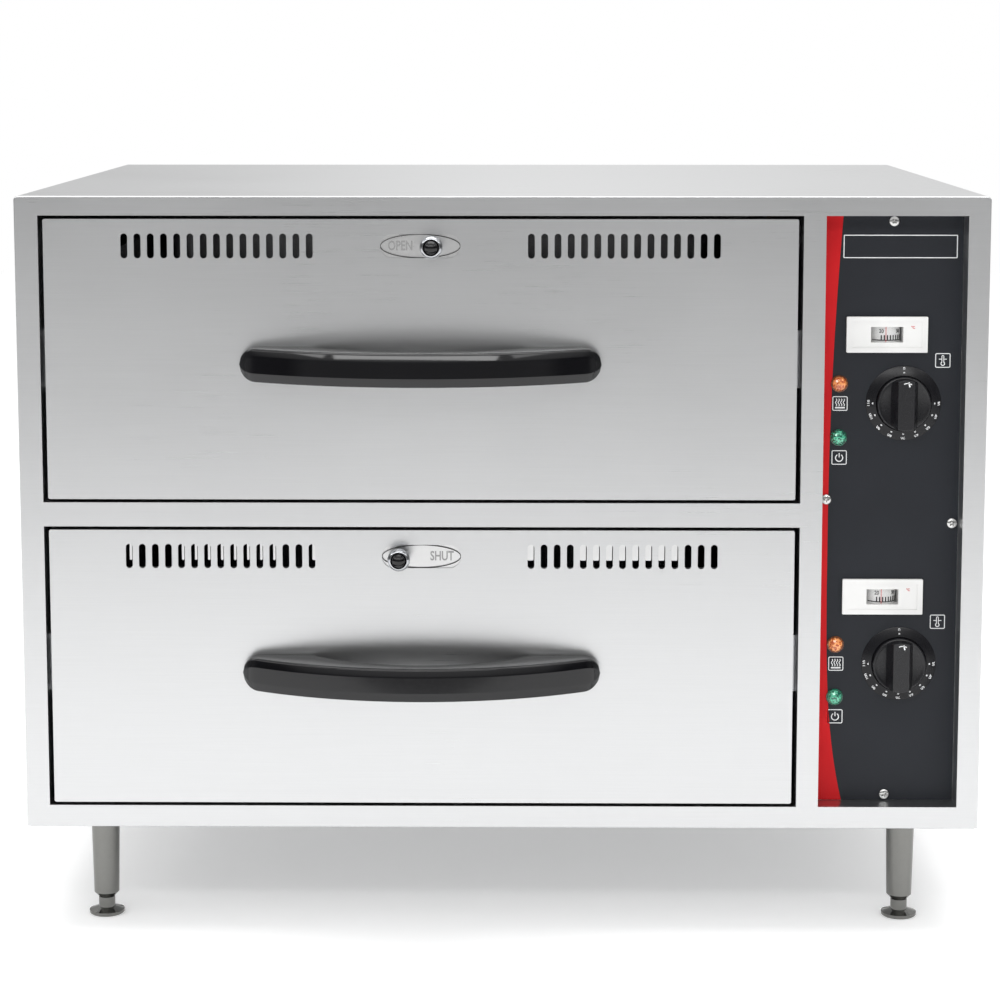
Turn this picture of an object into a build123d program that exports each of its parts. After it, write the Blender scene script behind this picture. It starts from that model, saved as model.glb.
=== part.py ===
from build123d import *
import os

os.makedirs("parts", exist_ok=True)

# Two-drawer countertop food warmer. X runs right, the front faces -Y, Z runs up from the worktop.
# The origin lies on the worktop, at the middle of the whole object's outline.

# ---------------------------------------------------------------- driving dimensions
# Cabinet
body_width = 750.0
body_depth = 566.0
body_height = 498.0
outer_sheet = 1.5
corner_radius = 3.5
rear_flange = 15.0
seam_gap = 0.3

# Front frame: widths of the stiles and rails round the openings
left_stile = 18.2
centre_stile = 17.2
right_stile = 17.0
control_width = 109.0
top_rail = 15.0
mid_rail = 19.0
bottom_rail = 17.5
fold_sheet = 1.2
return_depth = 20.0
frame_edge_radius = 1.0

# Legs and levelling feet
leg_height = 88.0
leg_inset_x = 53.0
leg_inset_y = 55.0
leg_top_radius = 11.65
leg_bottom_radius = 10.2
leg_shoulder = 4.0
leg_bottom_z = 14.0
leg_bore_radius = 5.0
leg_bore_depth = 30.0
running_clearance = 0.07
foot_radius = 14.2
foot_rim = 3.0
foot_neck_radius = 6.7
foot_stem_length = 26.0
weld_nut_radius = 10.0
weld_nut_height = 8.0

# Liners and insulation
liner_sheet = 1.0
liner_depth = 505.0
rear_insulation = 20.0
soft_gap = 0.3

# Drawer fronts
front_side_gap = 3.9
front_top_gap = 2.6
front_sheet = 1.0
front_tray_depth = 20.0
front_corner_radius = 1.5

# Vent slots in each drawer front, and the slide plate behind them
slot_count = 15
slot_pitch = 10.19
slot_width = 5.3
slot_length = 19.2
slot_group_offset = 156.7
vent_drop = 20.75
oval_width = 61.6
oval_height = 18.3
plate_sheet = 1.0
plate_left = 256.0
plate_right = 264.0
plate_top = 15.0
plate_skirt = 3.2
tab_left = 42.0
tab_right = 50.0
tab_skirt = 12.0
plate_opening_height = 14.0
plate_aligned = 8.9
plate_right_excess = 0.2
plate_left_excess = 3.1
plate_tip_round = 0.8
guide_inner_x = 76.0
guide_outer_x = 238.0
guide_width = 8.0
guide_wall = 2.0
guide_lip = 1.0
guide_grip = 2.0
vent_stem_radius = 3.0
vent_ball_radius = 8.8
vent_ball_reach = 15.0
vent_collar_radius = 5.5
upper_vent_rest = 8.8
lower_vent_rest = -17.0

# Bow handles
handle_length = 279.0
handle_projection = 55.0
handle_height = 26.0
handle_tip_reach = 13.0
handle_thickness = 18.0
handle_foot_length = 53.0
handle_round = 7.0
handle_drop = 111.2
handle_screw_radius = 2.4
handle_screw_depth = 14.0
handle_head_radius = 4.5
handle_head_height = 3.0

# Telescopic slides, one at each side of a drawer
slide_width = 12.7
slide_height = 45.0
slide_front_gap = 4.0
slide_rear_gap = 31.0
slide_sheet = 1.2
slide_gap = 0.3
slide_lift = 110.0
slide_flange = 9.0

# Drawer carrier and food pan
carrier_rear_gap = 45.0
carrier_wall_low = 60.0
carrier_headroom = 40.25
carrier_ledge = 16.0
carrier_window_length = 164.0
carrier_window_height = 24.0
pan_gap = 1.6
pan_floor_gap = 33.0
pan_taper = 10.0
pan_corner_radius = 38.0
pan_foot_radius = 14.0
pan_sheet = 1.0
pan_rim = 14.0

# Control column
overlay_thickness = 0.4
panel_sheet = 1.2
panel_gap = 0.3
panel_lip = 8.0
lower_dial_rise = 111.1
upper_dial_rise = 76.15
dial_shift = 9.6
dial_ring_radius = 29.3
dial_ring_thickness = 2.0
knob_radius = 21.0
knob_skirt_height = 7.0
knob_height = 17.0
knob_grip_width = 14.0
knob_gap = 0.6
knob_ring_gap = 0.5
shaft_radius = 3.0
shaft_fit = 0.05
thermostat_side = 36.0
thermostat_depth = 24.0
bush_radius = 5.0
bush_reach = 1.0
capillary_radius = 1.0
capillary_bend = 12.0
bulb_radius = 3.0
bulb_length = 80.0
bulb_drop = 14.0
bulb_wall_gap = 10.0
thermometer_shift = -4.2
thermometer_rise = 53.8
bezel_width = 63.0
bezel_height = 28.0
bezel_thickness = 3.0
bezel_radius = 0.8
bezel_insert_width = 54.6
bezel_insert_height = 20.4
bezel_insert_depth = 0.8
window_width = 25.0
window_height = 12.2
lens_thickness = 1.2
case_width = 56.0
case_height = 22.0
case_depth = 28.0
drum_radius = 12.0
drum_height = 12.4
drum_setback = 13.0
drum_gap = 0.4
spindle_radius = 1.5
spindle_length = 2.2
lamp_inset = 14.1
heat_lamp_rise = 15.1
power_lamp_drop = 27.2
lamp_bezel_radius = 6.7
lamp_bezel_thickness = 1.4
lamp_dome_radius = 5.4
lamp_dome_height = 3.4
lamp_body_radius = 4.9
lamp_body_length = 22.0
panel_screw_inset = 5.2
panel_screw_stagger = 9.4
screw_head_radius = 4.2
screw_head_height = 2.2
screw_shank_radius = 1.9
screw_shank_length = 8.0
screw_clearance = 0.1
cross_width = 1.1
cross_length = 4.6
cross_depth = 1.2

# Heating elements
element_radius = 4.0
element_lift = 12.0
element_half_width = 220.0
element_front_inset = 70.0
element_rear_inset = 60.0
element_half_gap = 40.0
element_bend = 26.0
element_tail = 16.0
element_pin_radius = 1.6
element_pin_length = 9.0
clip_length = 16.0
clip_thickness = 5.0
clip_cover = 2.0
clip_fit = 0.04

# Rear fittings
gland_inset = 53.0
gland_rise = 62.0
gland_radius = 10.0
gland_bore_radius = 4.2
gland_flange_radius = 13.5
gland_flange = 6.0
gland_projection = 22.0
gland_nut = 5.0
louvre_count = 9
louvre_pitch = 14.0
louvre_length = 70.0
louvre_width = 5.0
louvre_shift = 8.5
louvre_drop = 116.0
terminal_length = 56.0
terminal_width = 24.0
terminal_height = 20.0
terminal_shift = 8.5
terminal_inset = 104.0
terminal_ways = 5
terminal_screw_radius = 2.6

# ---------------------------------------------------------------- derived places
front_y = -(body_depth + gland_projection - handle_projection) / 2
rear_y = front_y + body_depth
left_x = -body_width / 2
right_x = body_width / 2
floor_z = leg_height
top_z = leg_height + body_height

opening_width = body_width - left_stile - centre_stile - control_width - right_stile
opening_height = (body_height - top_rail - mid_rail - bottom_rail) / 2
drawer_left = left_x + left_stile
drawer_right = drawer_left + opening_width
drawer_x = (drawer_left + drawer_right) / 2
lower_floor = floor_z + bottom_rail
upper_floor = lower_floor + opening_height + mid_rail
control_left = drawer_right + centre_stile
control_right = control_left + control_width
control_x = (control_left + control_right) / 2
control_bottom = lower_floor
control_top = top_z - top_rail
control_z = (control_bottom + control_top) / 2
control_height = control_top - control_bottom

liner_left = drawer_left - fold_sheet
liner_right = drawer_right + fold_sheet
liner_rear = front_y + liner_depth
frame_back = front_y + outer_sheet
partition_right = control_left - fold_sheet
partition_left = partition_right - fold_sheet

front_width = opening_width - 2 * front_side_gap
front_height = opening_height - 2 * front_top_gap
carrier_front = front_y + front_tray_depth
carrier_rear = liner_rear - carrier_rear_gap
carrier_depth = carrier_rear - carrier_front
carrier_wall_high = opening_height - carrier_headroom
pan_depth = carrier_wall_high - pan_floor_gap
carrier_width = liner_right - liner_left - 2 * slide_width
slide_front = carrier_front + slide_front_gap
slide_length = liner_rear - slide_rear_gap - slide_front

overlay_front = front_y + return_depth
panel_front = overlay_front + overlay_thickness
panel_rear = panel_front + panel_sheet
lower_dial_z = lower_floor + lower_dial_rise
upper_dial_z = upper_floor + upper_dial_rise
dial_x = control_x + dial_shift
thermometer_x = control_x + thermometer_shift
lamp_x = control_left + lamp_inset
louvre_x = control_x + louvre_shift
louvre_z = top_z - louvre_drop
terminal_x = control_x + terminal_shift
gland_x = right_x - gland_inset

levels = {"lower": lower_floor, "upper": upper_floor}
dial_heights = {"lower": lower_dial_z, "upper": upper_dial_z}
vent_rests = {"lower": lower_vent_rest, "upper": upper_vent_rest}

leg_places = {
    "front_left": (left_x + leg_inset_x, front_y + leg_inset_y),
    "front_right": (right_x - leg_inset_x, front_y + leg_inset_y),
    "rear_left": (left_x + leg_inset_x, rear_y - leg_inset_y),
    "rear_right": (right_x - leg_inset_x, rear_y - leg_inset_y),
}


# ---------------------------------------------------------------- helpers
def save(piece, name):
    """Labels a finished piece and writes its STEP file."""
    piece.part.label = name
    export_step(piece.part, f"parts/{name}.step")


def facing(y):
    """Plane across the object at depth y: its x is X, its y is Z and its normal faces the user."""
    return Plane(origin=(0, y, 0), x_dir=(1, 0, 0), z_dir=(0, -1, 0))


def upright(x, y):
    """Plane through a vertical axis, for turned pieces: its x is X and its y is Z."""
    return Plane(origin=(x, y, 0), x_dir=(1, 0, 0), z_dir=(0, -1, 0))


def block(low, high, mode=Mode.ADD):
    """A box between two corners."""
    size = [b - a for a, b in zip(low, high)]
    middle = [(a + b) / 2 for a, b in zip(low, high)]
    with Locations(tuple(middle)):
        Box(*size, mode=mode)


def disc(x, z, radius, near, far, mode=Mode.ADD):
    """A round bar or hole along Y, centred at x, z and running from depth near to depth far."""
    with Locations(Location((x, (near + far) / 2, z), (90, 0, 0))):
        Cylinder(radius, far - near, mode=mode)


def front_centre_z(floor):
    """Height of the middle of a drawer front above the floor of its opening."""
    return floor + opening_height / 2


def vent_z(floor):
    """Height of the row of vent slots."""
    return floor + opening_height - front_top_gap - vent_drop


def handle_z(floor):
    """Height of the middle of the handle."""
    return floor + opening_height - front_top_gap - handle_drop


def panel_screw_places():
    """The four panel screws, at the middle of each edge of the control opening."""
    return [
        (control_x, control_top - panel_screw_inset),
        (control_left + panel_screw_inset, control_z + panel_screw_stagger),
        (control_right - panel_screw_inset, control_z - panel_screw_stagger),
        (control_x, control_bottom + panel_screw_inset),
    ]


def rear_screw_places():
    """Screws through the rear panel into the flanges of the wrap and the base pan."""
    side = outer_sheet + rear_flange / 2
    rows = [floor_z + body_height * share for share in (0.12, 0.5, 0.88)]
    places = [(left_x + side, z) for z in rows] + [(right_x - side, z) for z in rows]
    for x in (-body_width / 5, body_width / 5):
        places.append((x, top_z - side))
        places.append((x, floor_z + side))
    return places


# ---------------------------------------------------------------- cabinet
def make_front_frame():
    """Folded sheet frame: the face, the returns round three openings and the lip behind the panel."""
    openings = [
        (drawer_x, lower_floor + opening_height / 2, opening_width, opening_height, return_depth),
        (drawer_x, upper_floor + opening_height / 2, opening_width, opening_height, return_depth),
        (control_x, control_z, control_width, control_height, panel_rear - front_y),
    ]
    with BuildPart() as frame:
        with BuildSketch(facing(front_y)):
            with Locations((0, floor_z + body_height / 2)):
                RectangleRounded(body_width, body_height, corner_radius)
            for x, z, width, height, depth in openings:
                with Locations((x, z)):
                    Rectangle(width, height, mode=Mode.SUBTRACT)
        extrude(amount=-outer_sheet)
        face = frame.faces().sort_by(Axis.Y)[0]
        fillet(face.outer_wire().edges(), frame_edge_radius)
        for x, z, width, height, depth in openings:
            with BuildSketch(facing(frame_back)):
                with Locations((x, z)):
                    Rectangle(width + 2 * fold_sheet, height + 2 * fold_sheet)
                    Rectangle(width, height, mode=Mode.SUBTRACT)
            extrude(amount=-(depth - outer_sheet))
        with BuildSketch(facing(panel_rear)):
            with Locations((control_x, control_z)):
                Rectangle(control_width + 2 * fold_sheet, control_height + 2 * fold_sheet)
                Rectangle(control_width - 2 * panel_lip, control_height - 2 * panel_lip, mode=Mode.SUBTRACT)
            with Locations(*panel_screw_places()):
                Circle(screw_shank_radius + screw_clearance, mode=Mode.SUBTRACT)
        extrude(amount=-fold_sheet)
    save(frame, "front_frame")


def make_outer_wrap():
    """Two sides and the top, folded from one sheet, with flanges for the rear panel."""
    inner_left = left_x + outer_sheet
    inner_right = right_x - outer_sheet
    inner_top = top_z - outer_sheet
    flange_front = rear_y - 2 * outer_sheet
    flange_rear = rear_y - outer_sheet
    with BuildPart() as wrap:
        with BuildSketch(facing(frame_back)) as profile:
            with Locations((0, floor_z + body_height / 2)):
                Rectangle(body_width, body_height)
            fillet(profile.vertices().group_by(Axis.Y)[-1], corner_radius)
            with Locations((0, floor_z + (body_height - outer_sheet) / 2)):
                Rectangle(body_width - 2 * outer_sheet, body_height - outer_sheet, mode=Mode.SUBTRACT)
        extrude(amount=-(body_depth - outer_sheet))
        low = floor_z + 2 * rear_flange
        block((inner_left, flange_front, low), (inner_left + rear_flange, flange_rear, inner_top))
        block((inner_right - rear_flange, flange_front, low), (inner_right, flange_rear, inner_top))
        block((inner_left, flange_front, inner_top - rear_flange), (inner_right, flange_rear, inner_top))
        for x, z in rear_screw_places():
            disc(x, z, screw_shank_radius + screw_clearance, flange_front, flange_rear, Mode.SUBTRACT)
    save(wrap, "outer_wrap")


def make_base_pan():
    """Bottom sheet with upturned edges and a weld nut over each leg."""
    inner_left = left_x + outer_sheet
    inner_right = right_x - outer_sheet
    flange_rear = rear_y - outer_sheet
    sheet_top = floor_z + outer_sheet
    edge_top = sheet_top + rear_flange
    with BuildPart() as base:
        block((inner_left, frame_back, floor_z), (inner_right, flange_rear, sheet_top))
        for low_x in (inner_left, inner_right - outer_sheet):
            high_x = low_x + outer_sheet
            block((low_x, frame_back, floor_z), (high_x, flange_rear - outer_sheet, edge_top))
        block(
            (inner_left + rear_flange, flange_rear - outer_sheet, floor_z),
            (inner_right - rear_flange, flange_rear, edge_top),
        )
        with BuildSketch(Plane.XY.offset(sheet_top)):
            with Locations(*leg_places.values()):
                RegularPolygon(weld_nut_radius, 6)
        extrude(amount=weld_nut_height)
        with BuildSketch(Plane.XY.offset(floor_z)):
            with Locations(*leg_places.values()):
                Circle(leg_bore_radius + running_clearance)
        extrude(amount=outer_sheet + weld_nut_height, mode=Mode.SUBTRACT)
        for x, z in rear_screw_places():
            hole = screw_shank_radius + screw_clearance
            disc(x, z, hole, flange_rear - outer_sheet, flange_rear, Mode.SUBTRACT)
    save(base, "base_pan")


def make_rear_panel():
    """Flat rear sheet with louvre slots behind the control column and the hole for the cable gland."""
    height = body_height - outer_sheet
    with BuildPart() as rear:
        with BuildSketch(facing(rear_y)):
            with Locations((0, floor_z + height / 2)):
                Rectangle(body_width - 2 * outer_sheet, height)
            with Locations((louvre_x, louvre_z)):
                with GridLocations(0, louvre_pitch, 1, louvre_count):
                    SlotOverall(louvre_length, louvre_width, mode=Mode.SUBTRACT)
            with Locations((gland_x, floor_z + gland_rise)):
                Circle(gland_radius + screw_clearance, mode=Mode.SUBTRACT)
            with Locations(*rear_screw_places()):
                Circle(screw_shank_radius + screw_clearance, mode=Mode.SUBTRACT)
        extrude(amount=outer_sheet)
    save(rear, "rear_panel")


def make_partition():
    """Upright sheet between the heated bays and the control column, with a foot and a head flange."""
    low_z = floor_z + outer_sheet
    high_z = top_z - outer_sheet
    far = rear_y - 2 * outer_sheet
    edge = partition_right + rear_flange
    with BuildPart() as wall:
        block((partition_left, frame_back, low_z), (partition_right, far, high_z))
        block((partition_left, frame_back, low_z), (edge, far, low_z + fold_sheet))
        block((partition_left, frame_back, high_z - fold_sheet), (edge, far, high_z))
        for name in levels:
            capillary_hole(name, partition_left, partition_right)
    save(wall, "partition")


def capillary_depth():
    """Depth at which a capillary crosses from the control column into its bay."""
    return panel_rear + thermostat_depth + 3 * capillary_bend


def bulb_z(name):
    """Height of the sensing bulb, just under the ceiling of its liner."""
    return levels[name] + opening_height + fold_sheet - bulb_drop


def capillary_hole(name, near_x, far_x):
    """Cuts the capillary's hole through a wall that lies between two X places."""
    with Locations(Location(((near_x + far_x) / 2, capillary_depth(), bulb_z(name)), (0, 90, 0))):
        Cylinder(capillary_radius + seam_gap, far_x - near_x, mode=Mode.SUBTRACT)


def element_ends(floor):
    """Where the two tails of a heating element cross the rear wall of the liner."""
    z = floor - fold_sheet + element_lift
    return [(drawer_x - element_half_gap, z), (drawer_x + element_half_gap, z)]


def make_liner(name):
    """Box round one drawer, open to the front."""
    floor = levels[name]
    low = (liner_left, frame_back, floor - fold_sheet)
    high = (liner_right, liner_rear, floor + opening_height + fold_sheet)
    skin = liner_sheet
    with BuildPart() as liner:
        block((low[0] - skin, low[1], low[2] - skin), (high[0] + skin, high[1], high[2] + skin))
        block(low, (high[0], high[1] - skin, high[2]), Mode.SUBTRACT)
        for x, z in element_ends(floor):
            disc(x, z, element_radius + seam_gap, high[1] - 2 * skin, high[1], Mode.SUBTRACT)
        capillary_hole(name, high[0], high[0] + skin)
    save(liner, f"{name}_liner")


def make_insulation(name):
    """Glass-fibre blanket that wraps one liner on all sides but the front."""
    floor = levels[name]
    liner_low = floor - fold_sheet - liner_sheet
    liner_high = floor + opening_height + fold_sheet + liner_sheet
    middle = upper_floor - mid_rail / 2
    lowest = floor_z + outer_sheet + soft_gap if name == "lower" else middle + soft_gap / 2
    highest = top_z - outer_sheet - soft_gap if name == "upper" else middle - soft_gap / 2
    near = frame_back + soft_gap
    far = liner_rear + soft_gap + rear_insulation
    left = left_x + 2 * outer_sheet + soft_gap
    with BuildPart() as blanket:
        block((left, near, lowest), (partition_left - soft_gap, far, highest))
        block(
            (liner_left - liner_sheet - soft_gap, near, liner_low - soft_gap),
            (liner_right + liner_sheet + soft_gap, liner_rear + soft_gap, liner_high + soft_gap),
            Mode.SUBTRACT,
        )
        for x, z in element_ends(floor):
            disc(x, z, element_radius + 2 * soft_gap, liner_rear, far, Mode.SUBTRACT)
        capillary_hole(name, liner_right, partition_left)
        if name == "lower":
            with BuildSketch(Plane.XY.offset(lowest)):
                with Locations(leg_places["front_left"], leg_places["rear_left"]):
                    Circle(weld_nut_radius + 2 * soft_gap)
            extrude(amount=liner_low - soft_gap - lowest, mode=Mode.SUBTRACT)
    save(blanket, f"{name}_insulation")


def make_legs():
    """Four turned legs, each with a stud into its weld nut and a bore for its foot."""
    stud_top = floor_z + outer_sheet + weld_nut_height
    shoulder_z = leg_bottom_z + leg_shoulder
    for name, (x, y) in leg_places.items():
        with BuildPart() as leg:
            with BuildSketch(upright(x, y)):
                with BuildLine():
                    Polyline(
                        (0, leg_bottom_z),
                        (foot_neck_radius, leg_bottom_z),
                        (leg_bottom_radius, shoulder_z),
                        (leg_top_radius, floor_z),
                        (leg_bore_radius, floor_z),
                        (leg_bore_radius, stud_top),
                        (0, stud_top),
                        close=True,
                    )
                make_face()
            revolve(axis=Axis((x, y, 0), (0, 0, 1)))
            with BuildSketch(Plane.XY.offset(leg_bottom_z)):
                with Locations((x, y)):
                    Circle(leg_bore_radius)
            extrude(amount=leg_bore_depth, mode=Mode.SUBTRACT)
        save(leg, f"{name}_leg")


def make_feet():
    """Four screw-in levelling feet: pad, neck and stem."""
    neck_top = leg_bottom_z - seam_gap
    stem_radius = leg_bore_radius - running_clearance
    for name, (x, y) in leg_places.items():
        with BuildPart() as foot:
            with BuildSketch(upright(x, y)):
                with BuildLine():
                    Polyline(
                        (0, 0),
                        (foot_radius - 1, 0),
                        (foot_radius, 1),
                        (foot_radius, foot_rim),
                        (foot_neck_radius, foot_rim + 2.5),
                        (foot_neck_radius, neck_top),
                        (stem_radius, neck_top),
                        (stem_radius, neck_top + foot_stem_length),
                        (0, neck_top + foot_stem_length),
                        close=True,
                    )
                make_face()
            revolve(axis=Axis((x, y, 0), (0, 0, 1)))
        save(foot, f"{name}_foot")


# ---------------------------------------------------------------- drawers
def make_front_skin(name):
    """Outer sheet of a drawer front: a shallow tray with vent slots, the oval window and plate guides."""
    floor = levels[name]
    back = front_y + front_sheet
    row_z = vent_z(floor)
    lip_near = back + plate_sheet + 2 * seam_gap
    with BuildPart() as skin:
        with BuildSketch(facing(front_y)):
            with Locations((drawer_x, front_centre_z(floor))):
                RectangleRounded(front_width, front_height, front_corner_radius)
        extrude(amount=-front_tray_depth)
        inner_width = front_width - 2 * front_sheet
        inner_height = front_height - 2 * front_sheet
        with BuildSketch(facing(back)):
            with Locations((drawer_x, front_centre_z(floor))):
                Rectangle(inner_width, inner_height)
        extrude(amount=-(front_tray_depth - front_sheet), mode=Mode.SUBTRACT)
        with BuildSketch(facing(front_y)):
            for side in (-1, 1):
                with Locations((drawer_x + side * slot_group_offset, row_z)):
                    with GridLocations(slot_pitch, 0, slot_count, 1):
                        SlotOverall(slot_length, slot_width, rotation=90)
            with Locations((drawer_x, row_z)):
                SlotOverall(oval_width, oval_height)
            with Locations(*handle_screw_places(floor)):
                Circle(handle_screw_radius + screw_clearance)
        extrude(amount=-front_sheet, mode=Mode.SUBTRACT)
        for x in (-guide_outer_x, -guide_inner_x, guide_inner_x, guide_outer_x):
            low_x = drawer_x + x - guide_width / 2
            high_x = low_x + guide_width
            top = row_z + plate_top + seam_gap
            bottom = row_z - plate_skirt - seam_gap
            block((low_x, back, top), (high_x, lip_near + guide_lip, top + guide_wall))
            block((low_x, lip_near, top - guide_grip), (high_x, lip_near + guide_lip, top + guide_wall))
            block((low_x, back, bottom - guide_wall), (high_x, lip_near + guide_lip, bottom))
            lip_far = lip_near + guide_lip
            block((low_x, lip_near, bottom - guide_wall), (high_x, lip_far, bottom + guide_grip))
    save(skin, f"{name}_drawer_front")


def handle_screw_places(floor):
    """Screw centres in the feet of a handle."""
    reach = handle_length / 2 - handle_foot_length / 2
    return [(drawer_x - reach, handle_z(floor)), (drawer_x + reach, handle_z(floor))]


def plate_openings(side):
    """First and last slot number of each opening in the slide plate, for the group at one side."""
    narrow = [(n, n) for n in (1, 2, 3)] + [(n, n) for n in range(8, 15)]
    return narrow + [(4, 7), (15, 18 if side > 0 else 17)]


def make_vent_plate(name):
    """Slide plate behind the slots: one end of its stroke opens them all.

    The other end covers the right group and narrows the left group, whose openings are wider.
    """
    rest = vent_rests[name]
    row_z = vent_z(levels[name])
    centre = drawer_x + rest
    near = front_y + front_sheet + seam_gap
    middle_slot = (slot_count + 1) / 2
    with BuildPart() as plate:
        block(
            (centre - plate_left, near, row_z - plate_skirt),
            (centre + plate_right, near + plate_sheet, row_z + plate_top),
        )
        block(
            (centre - tab_left, near, row_z - tab_skirt),
            (centre + tab_right, near + plate_sheet, row_z + plate_top),
        )
        for side in (-1, 1):
            group = centre - plate_aligned + side * slot_group_offset
            excess = plate_right_excess if side > 0 else plate_left_excess
            for first, last in plate_openings(side):
                low_x = group + (first - middle_slot) * slot_pitch - slot_width / 2
                high_x = group + (last - middle_slot) * slot_pitch + slot_width / 2 + excess
                block(
                    (low_x, near, row_z - plate_skirt),
                    (high_x, near + plate_sheet, row_z - plate_skirt + plate_opening_height),
                    Mode.SUBTRACT,
                )
        low_z = row_z - plate_skirt
        tips = plate.edges().filter_by(Axis.Y).filter_by_position(Axis.Z, low_z - 0.01, low_z + 0.01)
        fillet(tips, plate_tip_round)
    save(plate, f"{name}_vent_plate")


def make_vent_knob(name):
    """Ball knob on its stem, which stands on the slide plate and comes out through the oval window."""
    x = drawer_x + vent_rests[name]
    z = vent_z(levels[name])
    plate_face = front_y + front_sheet + seam_gap
    ball_y = front_y - vent_ball_reach
    with BuildPart() as knob:
        disc(x, z, vent_stem_radius, ball_y, plate_face)
        disc(x, z, vent_collar_radius, ball_y, ball_y + vent_ball_radius)
        with Locations((x, ball_y, z)):
            Sphere(vent_ball_radius)
    save(knob, f"{name}_vent_knob")


def make_handle(name):
    """Bow handle: a bar arched away from the front, on a wide foot at each end."""
    z = handle_z(levels[name])
    half = handle_length / 2
    foot_x = half - handle_foot_length
    inner_reach = handle_projection - handle_thickness
    with BuildPart() as handle:
        with BuildSketch(Plane.XY.offset(z - handle_height / 2)) as outline:
            with BuildLine():
                outer = ThreePointArc(
                    (drawer_x - half, front_y - handle_tip_reach),
                    (drawer_x, front_y - handle_projection),
                    (drawer_x + half, front_y - handle_tip_reach),
                )
                inner = ThreePointArc(
                    (drawer_x - foot_x, front_y),
                    (drawer_x, front_y - inner_reach),
                    (drawer_x + foot_x, front_y),
                )
                Polyline(outer @ 0, (drawer_x - half, front_y), inner @ 0)
                Polyline(outer @ 1, (drawer_x + half, front_y), inner @ 1)
            make_face()
        extrude(amount=handle_height)
        with BuildSketch(facing(front_y)):
            with Locations((drawer_x, z)):
                SlotOverall(handle_length, handle_height)
        extrude(amount=handle_projection, mode=Mode.INTERSECT)
        front_edges = handle.faces().sort_by(Axis.Y)[0].edges()
        fillet(front_edges, handle_round)
        for x, screw_z in handle_screw_places(levels[name]):
            disc(x, screw_z, handle_screw_radius, front_y - handle_screw_depth, front_y, Mode.SUBTRACT)
    save(handle, f"{name}_handle")


def make_handle_screws(name):
    """Two screws from inside the drawer front into the feet of the handle."""
    back = front_y + front_sheet
    with BuildPart() as screws:
        for x, z in handle_screw_places(levels[name]):
            disc(x, z, handle_screw_radius - screw_clearance / 2, front_y - handle_screw_depth + 1, back)
            disc(x, z, handle_head_radius, back, back + handle_head_height)
    save(screws, f"{name}_handle_screws")


def make_carrier(name):
    """Drawer body: inner front wall, side and rear walls, and the ledge that the pan hangs on."""
    floor = levels[name]
    low_z = floor + carrier_wall_low
    high_z = floor + carrier_wall_high
    left = drawer_x - carrier_width / 2
    right = drawer_x + carrier_width / 2
    wall = fold_sheet
    with BuildPart() as carrier:
        with BuildSketch(facing(carrier_front - wall)):
            with Locations((drawer_x, front_centre_z(floor))):
                Rectangle(front_width - 2 * front_sheet, front_height - 2 * front_sheet)
            for side in (-1, 1):
                with Locations((drawer_x + side * slot_group_offset, vent_z(floor))):
                    Rectangle(carrier_window_length, carrier_window_height, mode=Mode.SUBTRACT)
        extrude(amount=-wall)
        block((left, carrier_front, low_z), (right, carrier_rear, high_z))
        block(
            (left + wall, carrier_front, low_z),
            (right - wall, carrier_rear - wall, high_z - wall),
            Mode.SUBTRACT,
        )
        block(
            (left + wall + carrier_ledge, carrier_front + carrier_ledge, low_z),
            (right - wall - carrier_ledge, carrier_rear - wall - carrier_ledge, high_z),
            Mode.SUBTRACT,
        )
    save(carrier, f"{name}_drawer_carrier")


def pan_block(middle, width, length, top_z, bottom_z, corner, foot):
    """Solid block with sloping sides, round corners and a rounded foot: the pan's outside or its inside."""
    with BuildPart() as body:
        with BuildSketch(Plane.XY.offset(top_z)):
            with Locations(middle):
                RectangleRounded(width, length, corner)
        with BuildSketch(Plane.XY.offset(bottom_z)):
            with Locations(middle):
                RectangleRounded(width - 2 * pan_taper, length - 2 * pan_taper, corner)
        loft()
        fillet(body.faces().sort_by(Axis.Z)[0].edges(), foot)
    return body.part


def make_pan(name):
    """Lift-out food pan with sloping walls and a flat rim that rests on the carrier."""
    rim_z = levels[name] + carrier_wall_high
    top_z = rim_z + pan_sheet
    bottom_z = rim_z - pan_depth
    width = carrier_width - 2 * (fold_sheet + carrier_ledge + pan_gap)
    length = carrier_depth - fold_sheet - 2 * (carrier_ledge + pan_gap)
    middle = (drawer_x, carrier_front + carrier_ledge + pan_gap + length / 2)
    inner_width = width - 2 * pan_sheet
    inner_length = length - 2 * pan_sheet
    inner_corner = pan_corner_radius - pan_sheet
    inner_foot = pan_foot_radius - pan_sheet
    outside = pan_block(middle, width, length, rim_z, bottom_z, pan_corner_radius, pan_foot_radius)
    inner_bottom = bottom_z + pan_sheet
    inside = pan_block(middle, inner_width, inner_length, top_z, inner_bottom, inner_corner, inner_foot)
    with BuildPart() as pan:
        add(outside)
        with BuildSketch(Plane.XY.offset(rim_z)):
            with Locations(middle):
                RectangleRounded(width + 2 * pan_rim, length + 2 * pan_rim, pan_corner_radius)
        extrude(amount=pan_sheet)
        add(inside, mode=Mode.SUBTRACT)
    save(pan, f"{name}_food_pan")


def channel(web_x, tip_x, half_height, z):
    """One slide member: a channel with its web at web_x and its two flanges running to tip_x."""
    inward = 1 if tip_x > web_x else -1
    web_inner = web_x + inward * slide_sheet
    near = slide_front
    far = slide_front + slide_length
    inner_height = half_height - slide_sheet
    block((min(web_x, tip_x), near, z - half_height), (max(web_x, tip_x), far, z + half_height))
    block(
        (min(web_inner, tip_x), near, z - inner_height),
        (max(web_inner, tip_x), far, z + inner_height),
        Mode.SUBTRACT,
    )


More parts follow.
